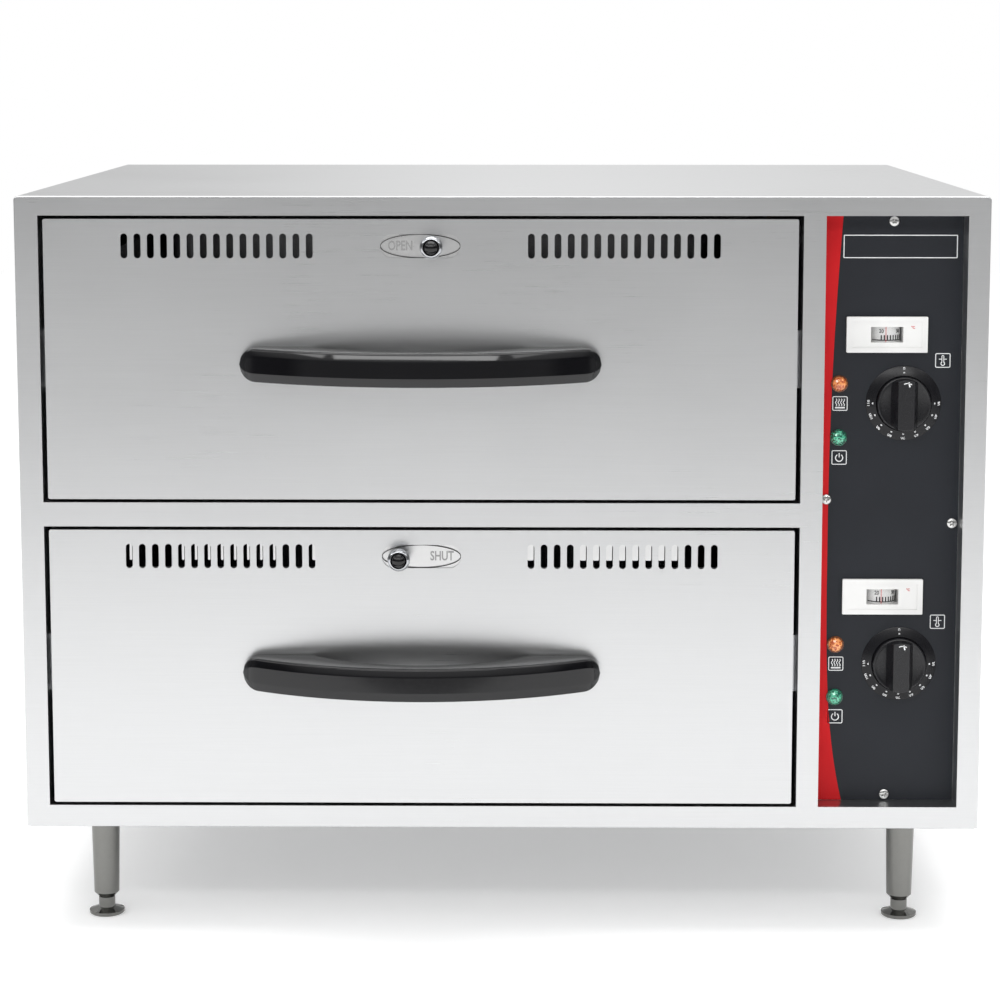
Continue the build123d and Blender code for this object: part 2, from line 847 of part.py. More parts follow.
def make_slides(name):
    """Outer, middle and inner members at both sides of a drawer, nested with a small running gap."""
    z = levels[name] + slide_lift
    half = slide_height / 2
    nest = slide_sheet + slide_gap
    for member in ("outer", "middle", "inner"):
        with BuildPart() as slide:
            for wall_x, inward in ((liner_left, 1), (liner_right, -1)):
                if member == "outer":
                    channel(wall_x, wall_x + inward * (slide_sheet + slide_flange), half, z)
                elif member == "middle":
                    web = wall_x + inward * nest
                    channel(web, web + inward * slide_flange, half - nest, z)
                else:
                    web = wall_x + inward * slide_width
                    channel(web, wall_x + inward * 2 * nest, half - 2 * nest, z)
        save(slide, f"{name}_slide_{member}s")


# ---------------------------------------------------------------- heating
def make_element(name):
    """Tubular heating element: one loop round the floor of the bay, with its clips and terminal pins."""
    floor = levels[name] - fold_sheet
    z = floor + element_lift
    tail_y = liner_rear + rear_insulation + element_tail
    back_y = liner_rear - element_rear_inset
    near_y = front_y + element_front_inset
    half, gap = element_half_width, element_half_gap
    route = [
        (drawer_x - gap, tail_y, z),
        (drawer_x - gap, back_y, z),
        (drawer_x - half, back_y, z),
        (drawer_x - half, near_y, z),
        (drawer_x + half, near_y, z),
        (drawer_x + half, back_y, z),
        (drawer_x + gap, back_y, z),
        (drawer_x + gap, tail_y, z),
    ]
    with BuildPart() as element:
        with BuildLine():
            FilletPolyline(*route, radius=element_bend)
        with BuildSketch(facing(tail_y)):
            with Locations((drawer_x - gap, z)):
                Circle(element_radius)
        sweep()
        for x in (drawer_x - gap, drawer_x + gap):
            disc(x, z, element_pin_radius, tail_y, tail_y + element_pin_length)
    clip_top = z + element_radius + clip_cover
    rows = (near_y + 3 * element_bend, back_y - 3 * element_bend)
    with BuildPart() as clips:
        for x in (drawer_x - half, drawer_x + half):
            for y in rows:
                block(
                    (x - clip_length / 2, y - clip_thickness / 2, floor),
                    (x + clip_length / 2, y + clip_thickness / 2, clip_top),
                )
                hole = element_radius + clip_fit
                disc(x, z, hole, y - clip_thickness / 2, y + clip_thickness / 2, Mode.SUBTRACT)
    whole = Compound(children=[*element.part.solids(), *clips.part.solids()])
    whole.label = f"{name}_heating_element"
    export_step(whole, f"parts/{name}_heating_element.step")


def make_thermostat(name):
    """Bulb thermostat: body and bush behind the panel, capillary into the bay and the bulb at its end."""
    z = dial_heights[name]
    body_rear = panel_rear + thermostat_depth
    half = thermostat_side / 2
    cross_y = capillary_depth()
    end_z = bulb_z(name)
    bulb_x = liner_right - bulb_wall_gap
    bulb_front = cross_y + 2 * capillary_bend
    route = [
        (dial_x, body_rear, z),
        (dial_x, cross_y, z),
        (dial_x, cross_y, end_z),
        (bulb_x, cross_y, end_z),
        (bulb_x, bulb_front, end_z),
    ]
    with BuildPart() as thermostat:
        block((dial_x - half, panel_rear, z - half), (dial_x + half, body_rear, z + half))
        disc(dial_x, z, bush_radius, overlay_front - bush_reach, panel_rear)
        bush_front = overlay_front - bush_reach
        bore_end = panel_rear + thermostat_depth / 2
        disc(dial_x, z, shaft_radius + shaft_fit, bush_front, bore_end, Mode.SUBTRACT)
        with BuildLine():
            FilletPolyline(*route, radius=capillary_bend)
        with BuildSketch(facing(body_rear)):
            with Locations((dial_x, z)):
                Circle(capillary_radius)
        sweep()
        disc(bulb_x, end_z, bulb_radius, bulb_front, bulb_front + bulb_length)
    save(thermostat, f"{name}_thermostat")


# ---------------------------------------------------------------- control column
def cut_control_holes():
    """Holes for the controls, cut in the sketch of the overlay or of the panel."""
    for z in dial_heights.values():
        with Locations((dial_x, z)):
            Circle(bush_radius + screw_clearance, mode=Mode.SUBTRACT)
        with Locations((thermometer_x, z + thermometer_rise)):
            opening = (case_width + 2 * screw_clearance, case_height + 2 * screw_clearance)
            Rectangle(*opening, mode=Mode.SUBTRACT)
        with Locations((lamp_x, z + heat_lamp_rise), (lamp_x, z - power_lamp_drop)):
            Circle(lamp_body_radius + screw_clearance, mode=Mode.SUBTRACT)
    with Locations(*panel_screw_places()):
        Circle(screw_shank_radius + screw_clearance, mode=Mode.SUBTRACT)


def make_panel_sheets():
    """The recessed control panel and the printed overlay on its face."""
    for name, near, thickness in (
        ("panel_overlay", overlay_front, overlay_thickness),
        ("control_panel", panel_front, panel_sheet),
    ):
        with BuildPart() as panel:
            with BuildSketch(facing(near)):
                with Locations((control_x, control_z)):
                    Rectangle(control_width - 2 * panel_gap, control_height - 2 * panel_gap)
                cut_control_holes()
            extrude(amount=-thickness)
        save(panel, name)


def cross_head_screw(x, z, face_y, facing_front):
    """One pan-head screw with a cross recess: its head lies on face_y and its shank runs inwards."""
    out = -1 if facing_front else 1
    head = face_y + out * screw_head_height
    tip = face_y - out * screw_shank_length
    deep = head - out * cross_depth
    disc(x, z, screw_head_radius, min(head, face_y), max(head, face_y))
    disc(x, z, screw_shank_radius, min(tip, face_y), max(tip, face_y))
    low, high = min(head, deep), max(head, deep)
    for wide, tall in ((cross_length, cross_width), (cross_width, cross_length)):
        block((x - wide / 2, low, z - tall / 2), (x + wide / 2, high, z + tall / 2), Mode.SUBTRACT)


def make_screws():
    """Panel screws and rear screws, each group in one node."""
    with BuildPart() as panel_screws:
        for x, z in panel_screw_places():
            cross_head_screw(x, z, overlay_front, True)
    save(panel_screws, "panel_screws")
    with BuildPart() as rear_screws:
        for x, z in rear_screw_places():
            cross_head_screw(x, z, rear_y, False)
    save(rear_screws, "rear_screws")


def make_dial_rings():
    """Flat graduated ring round each knob."""
    with BuildPart() as rings:
        with BuildSketch(facing(overlay_front)):
            with Locations(*[(dial_x, z) for z in dial_heights.values()]):
                Circle(dial_ring_radius)
                Circle(knob_radius + knob_ring_gap, mode=Mode.SUBTRACT)
        extrude(amount=dial_ring_thickness)
        chamfer(rings.faces().sort_by(Axis.Y)[:2].edges().filter_by(GeomType.CIRCLE), 0.4)
    save(rings, "dial_rings")


def make_knob(name):
    """Thermostat knob: round skirt with a broad upright grip, and the metal shaft that it turns."""
    z = dial_heights[name]
    back = overlay_front - knob_gap
    skirt_front = back - knob_skirt_height
    grip_front = back - knob_height
    with BuildPart() as knob:
        disc(dial_x, z, knob_radius, skirt_front, back)
        with BuildSketch(facing(skirt_front)):
            with Locations((dial_x, z)):
                Circle(knob_radius)
                Rectangle(knob_grip_width, 2 * knob_radius, mode=Mode.INTERSECT)
        extrude(amount=knob_height - knob_skirt_height, taper=3)
        disc(dial_x, z, bush_radius + 1, back - bush_reach - 1, back, Mode.SUBTRACT)
        disc(dial_x, z, shaft_radius, grip_front + 4, back, Mode.SUBTRACT)
    save(knob, f"{name}_knob")
    with BuildPart() as shaft:
        disc(dial_x, z, shaft_radius, grip_front + 4, panel_rear + thermostat_depth / 2 - 1)
    save(shaft, f"{name}_thermostat_shaft")


def make_thermometer(name):
    """Thermometer case with its bezel, and the scale drum that turns behind the window."""
    x = thermometer_x
    z = dial_heights[name] + thermometer_rise
    face = overlay_front - bezel_thickness
    insert = face + bezel_insert_depth
    drum_y = overlay_front + drum_setback
    cavity = drum_radius + drum_gap
    cavity_half = drum_height / 2 + seam_gap
    with BuildPart() as case:
        with BuildSketch(facing(overlay_front)):
            with Locations((x, z)):
                RectangleRounded(bezel_width, bezel_height, bezel_radius)
        extrude(amount=bezel_thickness)
        block(
            (x - case_width / 2, overlay_front, z - case_height / 2),
            (x + case_width / 2, overlay_front + case_depth, z + case_height / 2),
        )
        with BuildSketch(facing(insert)):
            with Locations((x, z)):
                RectangleRounded(bezel_insert_width, bezel_insert_height, bezel_radius / 2)
        extrude(amount=bezel_insert_depth, mode=Mode.SUBTRACT)
        window = (window_width / 2, window_height / 2)
        block((x - window[0], insert, z - window[1]), (x + window[0], drum_y, z + window[1]), Mode.SUBTRACT)
        pivot_height = 2 * (cavity_half + spindle_length + seam_gap)
        with Locations((x, drum_y, z)):
            Cylinder(cavity, 2 * cavity_half, mode=Mode.SUBTRACT)
            Cylinder(spindle_radius + shaft_fit, pivot_height, mode=Mode.SUBTRACT)
    save(case, f"{name}_thermometer_case")
    with BuildPart() as drum:
        with Locations((x, drum_y, z)):
            Cylinder(drum_radius, drum_height)
            Cylinder(spindle_radius, drum_height + 2 * seam_gap + 2 * spindle_length)
    save(drum, f"{name}_thermometer_drum")


def make_lenses():
    """Clear windows of the two thermometers."""
    near = overlay_front - bezel_thickness + bezel_insert_depth
    with BuildPart() as lenses:
        for z in dial_heights.values():
            with BuildSketch(facing(near)):
                with Locations((thermometer_x, z + thermometer_rise)):
                    Rectangle(window_width, window_height)
            extrude(amount=-lens_thickness)
    save(lenses, "thermometer_lenses")


def make_lamps():
    """Amber heat lamps and green power lamps: domed lens, rim and body in one piece."""
    rises = {"heat_lamps": heat_lamp_rise, "power_lamps": -power_lamp_drop}
    rim = overlay_front - lamp_bezel_thickness
    for node, rise in rises.items():
        with BuildPart() as lamps:
            for z in dial_heights.values():
                lamp_z = z + rise
                disc(lamp_x, lamp_z, lamp_body_radius, overlay_front, overlay_front + lamp_body_length)
                disc(lamp_x, lamp_z, lamp_bezel_radius, rim, overlay_front)
                with BuildSketch(facing(rim)):
                    with Locations((lamp_x, lamp_z)):
                        Circle(lamp_dome_radius)
                extrude(amount=lamp_dome_height, taper=20)
        save(lamps, node)


# ---------------------------------------------------------------- rear fittings
def make_cable_gland():
    """Gland in the rear panel with an open bore."""
    z = floor_z + gland_rise
    inside = rear_y - outer_sheet
    with BuildPart() as gland:
        disc(gland_x, z, gland_radius, inside - gland_nut, rear_y + gland_flange)
        with BuildSketch(facing(rear_y + gland_flange)):
            with Locations((gland_x, z)):
                RegularPolygon(gland_flange_radius, 6)
        extrude(amount=gland_flange)
        with BuildSketch(facing(inside)):
            with Locations((gland_x, z)):
                RegularPolygon(gland_flange_radius, 6)
        extrude(amount=gland_nut)
        disc(gland_x, z, gland_radius - 1, rear_y + gland_flange, rear_y + gland_projection)
        fillet(gland.edges().filter_by(GeomType.CIRCLE).sort_by(Axis.Y)[-1], 3)
        disc(gland_x, z, gland_bore_radius, inside - gland_nut, rear_y + gland_projection, Mode.SUBTRACT)
    save(gland, "cable_gland")


def make_terminal_block():
    """Ceramic terminal block on the base pan, with a row of clamp screw holes."""
    near = rear_y - terminal_inset
    low_z = floor_z + outer_sheet
    with BuildPart() as terminals:
        block(
            (terminal_x - terminal_length / 2, near - terminal_width / 2, low_z),
            (terminal_x + terminal_length / 2, near + terminal_width / 2, low_z + terminal_height),
        )
        with BuildSketch(Plane.XY.offset(low_z + terminal_height)):
            with Locations((terminal_x, near)):
                with GridLocations(terminal_length / terminal_ways, terminal_width / 2, terminal_ways, 2):
                    Circle(terminal_screw_radius)
        extrude(amount=-terminal_height / 2, mode=Mode.SUBTRACT)
    save(terminals, "terminal_block")


def main():
    """Builds every piece of the warmer."""
    make_front_frame()
    make_outer_wrap()
    make_base_pan()
    make_rear_panel()
    make_partition()
    make_legs()
    make_feet()
    make_panel_sheets()
    make_screws()
    make_dial_rings()
    make_lenses()
    make_lamps()
    make_cable_gland()
    make_terminal_block()
    for name in levels:
        make_liner(name)
        make_insulation(name)
        make_front_skin(name)
        make_vent_plate(name)
        make_vent_knob(name)
        make_handle(name)
        make_handle_screws(name)
        make_carrier(name)
        make_pan(name)
        make_slides(name)
        make_element(name)
        make_thermostat(name)
        make_knob(name)
        make_thermometer(name)


main()
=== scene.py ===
import logging
import math
from dataclasses import dataclass, field
from enum import Enum
from typing import Self

import bmesh
import bpy
from mathutils import Matrix, Vector


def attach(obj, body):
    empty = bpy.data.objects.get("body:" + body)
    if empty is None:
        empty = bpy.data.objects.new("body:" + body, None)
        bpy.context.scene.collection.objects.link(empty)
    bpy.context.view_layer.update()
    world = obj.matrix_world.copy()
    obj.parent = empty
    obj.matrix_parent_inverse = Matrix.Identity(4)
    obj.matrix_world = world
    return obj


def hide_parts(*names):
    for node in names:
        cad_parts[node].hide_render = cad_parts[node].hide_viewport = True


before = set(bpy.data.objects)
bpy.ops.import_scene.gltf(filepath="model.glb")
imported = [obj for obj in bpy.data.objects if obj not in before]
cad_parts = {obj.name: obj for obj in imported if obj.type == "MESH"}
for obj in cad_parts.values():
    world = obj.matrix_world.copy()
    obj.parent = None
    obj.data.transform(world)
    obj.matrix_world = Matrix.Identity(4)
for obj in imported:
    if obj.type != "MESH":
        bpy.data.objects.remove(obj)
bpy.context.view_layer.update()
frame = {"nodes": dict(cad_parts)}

log = logging.getLogger("warming_drawer")

Colour = tuple[float, float, float]
Light = tuple[float, float, float, float]
Flat = tuple[float, float]
Path = list[Flat]
Place = tuple[float, float, float]
Socket = bpy.types.NodeSocket
Piece = bpy.types.Object
Material = bpy.types.Material
Corner = bmesh.types.BMVert
MM = 0.001

# Places shared with the CAD part, in millimetres. X runs right, the front faces -Y, Z runs up.
FRONT_Y = -266.5
OVERLAY_Y = -246.5
DIAL_X = 313.1
LAMP_X = 263.1
THERMOMETER_X = 299.3
DRAWER_X = -62.5
PRINT_DEPTH = 0.12
PRINT_FRONT = OVERLAY_Y - PRINT_DEPTH
PRINT_BACK = OVERLAY_Y + PRINT_DEPTH

WHITE: Light = (1.0, 1.0, 1.0, 1.0)


class Axis(Enum):
    """Direction that a repeated mark turns about."""

    DEPTH = (0.0, 1.0, 0.0)
    UPRIGHT = (0.0, 0.0, 1.0)


class Grain(Enum):
    """How a metal sheet was worked."""

    BRUSHED = "brushed"
    ROLLED = "rolled"
    POLISHED = "polished"


@dataclass(frozen=True)
class Bay:
    """Heights and places that belong to one drawer, in millimetres."""

    name: str
    floor_z: float
    dial_z: float
    ball_x: float

    @property
    def handle_z(self) -> float:
        """Height of the middle of the handle."""
        return self.floor_z + 109.45

    @property
    def vent_z(self) -> float:
        """Height of the row of vents."""
        return self.floor_z + 199.9

    @property
    def thermometer_z(self) -> float:
        """Height of the middle of the thermometer."""
        return self.dial_z + 53.8


UPPER = Bay("upper", 347.75, 423.9, DRAWER_X + 8.8)
LOWER = Bay("lower", 105.5, 216.6, DRAWER_X - 17.0)
BAYS = (UPPER, LOWER)


class NodeBuilder:
    """Adds nodes to a tree, for a material, the surround or a repeater."""

    def __init__(self, tree: bpy.types.NodeTree) -> None:
        """Keeps the tree's nodes and links."""
        self.nodes = tree.nodes
        self.links = tree.links

    def node(self, kind: str, inputs: dict[str | int, object], **settings: str) -> bpy.types.Node:
        """Adds a node and fills its inputs.

        Args:
            kind: the node's type name.
            inputs: a socket or a value for each input that matters, by its name or number.
            settings: the node's own settings.

        Returns:
            The node.
        """
        made = self.nodes.new(kind)
        for name, setting in settings.items():
            setattr(made, name, setting)
        for name, source in inputs.items():
            if isinstance(source, Socket):
                self.links.new(source, made.inputs[name])
            else:
                made.inputs[name].default_value = source
        return made


# ---------------------------------------------------------------- finishes
class Shader(NodeBuilder):
    """A node material, with short calls for the nodes that the finishes share."""

    def __init__(self, name: str, colour: Colour, metallic: float, roughness: float) -> None:
        """Makes the material with its plain values.

        Args:
            name: name of the material.
            colour: base colour, linear.
            metallic: 1 for bare metal, 0 for the rest.
            roughness: roughness before any variation.
        """
        self.material = bpy.data.materials.new(name)
        self.material.use_nodes = True
        super().__init__(self.material.node_tree)
        self.surface = self.nodes["Principled BSDF"]
        self.value("Base Color", (*colour, 1.0))
        self.value("Metallic", metallic)
        self.value("Roughness", roughness)
        self.material.diffuse_color = (*colour, 1.0)

    def value(self, socket: str, amount: float | tuple[float, ...]) -> None:
        """Sets one of the shader's own sockets."""
        self.surface.inputs[socket].default_value = amount

    def drive(self, socket: str, source: Socket) -> None:
        """Links a varying value to one of the shader's sockets."""
        self.links.new(source, self.surface.inputs[socket])

    def place(self) -> Socket:
        """Returns the piece's own Object coordinates."""
        return self.nodes.new("ShaderNodeTexCoord").outputs["Object"]

    def scaled(self, place: Socket, scale: tuple[float, float, float]) -> Socket:
        """Stretches coordinates by a factor along each axis."""
        return self.node("ShaderNodeMapping", {"Vector": place, "Scale": scale}).outputs["Vector"]

    def noise(self, place: Socket, scale: float, detail: float = 3.0) -> Socket:
        """Adds noise of about 0 to 1, with `scale` cells to a unit and `detail` octaves."""
        inputs = {"Vector": place, "Scale": scale, "Detail": detail}
        return self.node("ShaderNodeTexNoise", inputs).outputs["Fac"]

    def cells(self, place: Socket, scale: float) -> Socket:
        """Adds cells of random brightness, `scale` of them to a unit of the coordinates."""
        return self.node("ShaderNodeTexVoronoi", {"Vector": place, "Scale": scale}).outputs["Color"]

    def spread(self, source: Socket, low: float, high: float) -> Socket:
        """Maps the middle of a noise's range to the range low to high."""
        limits = {"From Min": 0.3, "From Max": 0.7, "To Min": low, "To Max": high}
        return self.node("ShaderNodeMapRange", {"Value": source, **limits}).outputs["Result"]

    def blend(self, factor: Socket, first: Colour, second: Colour) -> Socket:
        """Mixes two linear colours: a factor of 0 gives the first and 1 the second."""
        inputs = {0: factor, 6: (*first, 1.0), 7: (*second, 1.0)}
        return self.node("ShaderNodeMix", inputs, data_type="RGBA").outputs[2]

    def relief(self, height: Socket, strength: float, distance: float) -> None:
        """Adds bump of a given strength from a height pattern, `distance` metres high."""
        bump = self.node("ShaderNodeBump", {"Strength": strength, "Distance": distance, "Height": height})
        self.drive("Normal", bump.outputs["Normal"])


@dataclass(frozen=True)
class SheetMetal:
    """Bare metal sheet, brushed, rolled or polished."""

    name: str
    colour: Colour
    roughness: float
    grain: Grain = Grain.ROLLED
    relief: float = 0.06
    speckle: float = 260.0
    line_length: float = 16.0
    line_width: float = 2300.0

    def along_grain(self, shader: Shader) -> Socket:
        """Gives coordinates whose lines run level on upright sheets, and left to right on flat ones.

        Args:
            shader: the material that they are for.

        Returns:
            The coordinates.
        """
        place = shader.place()
        if self.grain is not Grain.BRUSHED:
            return shader.scaled(place, (self.speckle,) * 3)
        upright = shader.scaled(place, (self.line_length, self.line_length, self.line_width))
        flat = shader.scaled(place, (self.line_length, self.line_width, self.line_length))
        normal = shader.node("ShaderNodeNewGeometry", {}).outputs["Normal"]
        rise = shader.node("ShaderNodeSeparateXYZ", {0: normal}).outputs["Z"]
        level = shader.node("ShaderNodeMath", {0: rise}, operation="ABSOLUTE").outputs[0]
        lying = shader.node("ShaderNodeMath", {0: level, 1: 0.6}, operation="GREATER_THAN").outputs[0]
        return shader.node("ShaderNodeMix", {0: lying, 4: upright, 5: flat}, data_type="VECTOR").outputs[1]

    def make(self) -> Material:
        """Builds the material: fine grain, slow clouding and a little wear in the roughness.

        Returns:
            The material.
        """
        shader = Shader(self.name, self.colour, 1.0, self.roughness)
        grain = shader.noise(self.along_grain(shader), 1.0, 4.0)
        cloud = shader.noise(shader.place(), 5.0, 2.0)
        both = shader.node("ShaderNodeMix", {0: 0.45, 2: grain, 3: cloud}).outputs[0]
        dark = tuple(channel * 0.965 for channel in self.colour)
        light = tuple(min(1.0, channel * 1.03) for channel in self.colour)
        shader.drive("Base Color", shader.blend(shader.spread(both, 0.0, 1.0), dark, light))
        span = 0.12 * self.roughness
        shader.drive("Roughness", shader.spread(both, self.roughness - span, self.roughness + span))
        shader.relief(grain, self.relief, 0.0002)
        return shader.material


@dataclass(frozen=True)
class Moulding:
    """Moulded plastic or printed film, with its fine skin texture."""

    name: str
    colour: Colour
    roughness: float
    skin: float = 900.0
    relief: float = 0.05
    specular: float = 0.5

    def make(self) -> Material:
        """Builds the material.

        Returns:
            The material.
        """
        shader = Shader(self.name, self.colour, 0.0, self.roughness)
        place = shader.place()
        skin = shader.noise(place, self.skin, 2.0)
        cloud = shader.noise(place, 14.0, 2.0)
        dark = tuple(channel * 0.88 for channel in self.colour)
        light = tuple(min(1.0, channel * 1.1) for channel in self.colour)
        shader.drive("Base Color", shader.blend(shader.spread(cloud, 0.0, 1.0), dark, light))
        shader.drive("Roughness", shader.spread(skin, self.roughness * 0.85, self.roughness * 1.15))
        shader.value("Specular IOR Level", self.specular)
        shader.relief(skin, self.relief, 0.0001)
        return shader.material


@dataclass(frozen=True)
class Jewel:
    """Cut plastic of a pilot lamp: bright facets among deep ones."""

    name: str
    deep: Colour
    bright: Colour

    def make(self) -> Material:
        """Builds the material.

        Returns:
            The material.
        """
        shader = Shader(self.name, self.deep, 0.0, 0.08)
        facets = shader.cells(shader.place(), 780.0)
        glow = shader.blend(shader.spread(facets, -0.2, 0.9), self.deep, self.bright)
        shader.drive("Base Color", glow)
        shader.drive("Emission Color", glow)
        shader.value("Emission Strength", 0.12)
        shader.value("Coat Weight", 1.0)
        shader.relief(facets, 0.35, 0.0004)
        return shader.material


@dataclass(frozen=True)
class ClearWindow:
    """Clear plastic window with faint wiping marks."""

    name: str

    def make(self) -> Material:
        """Builds the material.

        Returns:
            The material.
        """
        shader = Shader(self.name, (0.08, 0.08, 0.08), 0.0, 0.03)
        shader.value("Alpha", 0.06)
        marks = shader.noise(shader.scaled(shader.place(), (60.0, 60.0, 400.0)), 1.0)
        shader.drive("Roughness", shader.spread(marks, 0.01, 0.06))
        return shader.material


@dataclass(frozen=True)
class Blanket:
    """Matted glass fibre."""

    name: str
    colour: Colour

    def make(self) -> Material:
        """Builds the material.

        Returns:
            The material.
        """
        shader = Shader(self.name, self.colour, 0.0, 0.95)
        fibres = shader.noise(shader.scaled(shader.place(), (500.0, 90.0, 90.0)), 1.0, 6.0)
        pale = tuple(min(1.0, channel * 1.3) for channel in self.colour)
        shader.drive("Base Color", shader.blend(shader.spread(fibres, 0.0, 1.0), self.colour, pale))
        shader.value("Sheen Weight", 0.3)
        shader.relief(fibres, 0.8, 0.002)
        return shader.material


@dataclass(frozen=True)
class HotSheath:
    """Steel tube darkened and tinted by heat."""

    name: str
    scorched: Colour = (0.1, 0.09, 0.1)
    straw: Colour = (0.34, 0.27, 0.2)

    def make(self) -> Material:
        """Builds the material.

        Returns:
            The material.
        """
        shader = Shader(self.name, (0.2, 0.18, 0.16), 1.0, 0.5)
        tint = shader.noise(shader.place(), 22.0, 4.0)
        shader.drive("Base Color", shader.blend(shader.spread(tint, 0.0, 1.0), self.scorched, self.straw))
        shader.drive("Roughness", shader.spread(tint, 0.35, 0.6))
        shader.relief(shader.noise(shader.place(), 700.0), 0.15, 0.0002)
        return shader.material


class Finishes:
    """Every finish on the object, made once and looked up by name."""

    def __init__(self) -> None:
        """Builds the materials of the record's slots and of the print."""
        recipes = [
            SheetMetal("brushed_stainless", (0.62, 0.625, 0.63), 0.3, Grain.BRUSHED, 0.035),
            SheetMetal("inner_sheet", (0.46, 0.47, 0.49), 0.42),
            SheetMetal("pan_steel", (0.66, 0.66, 0.67), 0.24),
            Blanket("glass_fibre", (0.62, 0.54, 0.3)),
            SheetMetal("chrome", (0.46, 0.47, 0.49), 0.06, Grain.POLISHED, 0.015),
            SheetMetal("bright_metal", (0.62, 0.62, 0.61), 0.2, Grain.POLISHED, 0.03),
            # Chrome of the legs and feet: its dark base colour is painted reflection of dark surroundings,
            # far darker than bare chrome.
            SheetMetal("worn_chrome", (0.2, 0.2, 0.19), 0.09, Grain.POLISHED, 0.03),
            SheetMetal("slide_steel", (0.55, 0.56, 0.58), 0.3),
            SheetMetal("plate_steel", (0.7, 0.7, 0.7), 0.3),
            Moulding("black_gloss", (0.003, 0.003, 0.004), 0.07, 300.0, 0.006, 0.5),
            Moulding("overlay_print", (0.012, 0.014, 0.019), 0.5, 1500.0, 0.06, 0.3),
            Moulding("dial_metal", (0.006, 0.006, 0.008), 0.24, 1200.0, 0.03, 0.3),
            Moulding("thermometer_shell", (0.8, 0.8, 0.79), 0.35, 900.0, 0.03),
            Moulding("scale_drum", (0.93, 0.93, 0.91), 0.5, 1500.0, 0.03),
            ClearWindow("clear_lens"),
            Jewel("amber_lens", (0.42, 0.05, 0.0), (1.0, 0.42, 0.14)),
            Jewel("green_lens", (0.0, 0.1, 0.06), (0.12, 0.62, 0.38)),
            Jewel("amber_rim", (0.09, 0.02, 0.0), (0.2, 0.06, 0.01)),
            Jewel("green_rim", (0.0, 0.045, 0.025), (0.0, 0.13, 0.07)),
            HotSheath("element_sheath"),
            Moulding("thermostat_body", (0.5, 0.42, 0.3), 0.6, 500.0, 0.1),
            Moulding("steatite", (0.72, 0.68, 0.58), 0.8, 700.0, 0.2),
            Moulding("gland_plastic", (0.02, 0.02, 0.021), 0.5, 900.0, 0.12),
            Moulding("knob_satin", (0.008, 0.008, 0.01), 0.3, 1300.0, 0.06, 0.45),
            Moulding("white_ink", (0.85, 0.86, 0.87), 0.5, 1800.0, 0.02, 0.2),
            Moulding("red_ink", (0.6, 0.014, 0.018), 0.5, 1600.0, 0.04, 0.12),
            Moulding("black_ink", (0.02, 0.02, 0.022), 0.5, 1800.0, 0.02),
            Moulding("dark_stamp", (0.3, 0.3, 0.3), 0.6, 1800.0, 0.02),
            # Near-black ring round the oval windows: painted shadow of the gap at the window's edge.
            Moulding("raw_edge", (0.03, 0.03, 0.03), 0.7, 1800.0, 0.05, 0.2),
        ]
        self.made = {recipe.name: recipe.make() for recipe in recipes}

    def __getitem__(self, name: str) -> Material:
        """Returns one material by name."""
        return self.made[name]

    def dress_cad(self, nodes: dict[str, Piece]) -> None:
        """Gives each CAD node the material of its record slot, and the legs and feet a chrome whose dark base
        colour is painted reflection of dark surroundings.

        Args:
            nodes: the CAD objects by name.
        """
        for name, node in sorted(nodes.items()):
            standing = name.endswith(("_leg", "_foot"))
            for slot in node.material_slots:
                plain = slot.material.name.split(".")[0]
                slot.material = self.made["worn_chrome" if standing else plain]
            log.info("dressed %s", name)


# ---------------------------------------------------------------- meshes
def linked(name: str, data: bpy.types.ID) -> Piece:
    """Makes an object of a mesh, a lamp or other data and links it to the scene."""
    made = bpy.data.objects.new(name, data)
    bpy.context.scene.collection.objects.link(made)
    return made


def settled(thing: Piece) -> bpy.types.Mesh:
    """Returns a plain mesh of an object as it stands, with its modifiers run."""
    return bpy.data.meshes.new_from_object(thing.evaluated_get(bpy.context.evaluated_depsgraph_get()))


def turns(steps: int) -> list[float]:
    """Returns the angles that part a whole turn into equal steps."""
    return [math.tau * i / steps for i in range(steps)]


def rounded_box(width: float, height: float, radius: float, x: float, z: float) -> Path:
    """Outlines a rectangle with round corners.

    Args:
        width: overall width.
        height: overall height.
        radius: corner radius.
        x: X of its middle.
        z: Z of its middle.

    Returns:
        The corners as (x, z).
    """
    outline = []
    for corner, (sx, sz) in enumerate(((1, 1), (-1, 1), (-1, -1), (1, -1))):
        for step in range(5):
            angle = math.pi / 2 * (corner + step / 4)
            cx = x + sx * (width / 2 - radius)
            cz = z + sz * (height / 2 - radius)
            outline.append((cx + radius * math.cos(angle), cz + radius * math.sin(angle)))
    return outline


def arc(x: float, z: float, radius: float, start: float, end: float, steps: int = 16) -> Path:
    """Points on an arc, its angles in degrees clockwise from the top.

    Args:
        x: X of the centre.
        z: Z of the centre.
        radius: its radius.
        start: first angle.
        end: last angle.
        steps: number of pieces.

    Returns:
        The points as (x, z).
    """
    angles = [math.radians(start + (end - start) * i / steps) for i in range(steps + 1)]
    return [(x + radius * math.sin(a), z + radius * math.cos(a)) for a in angles]


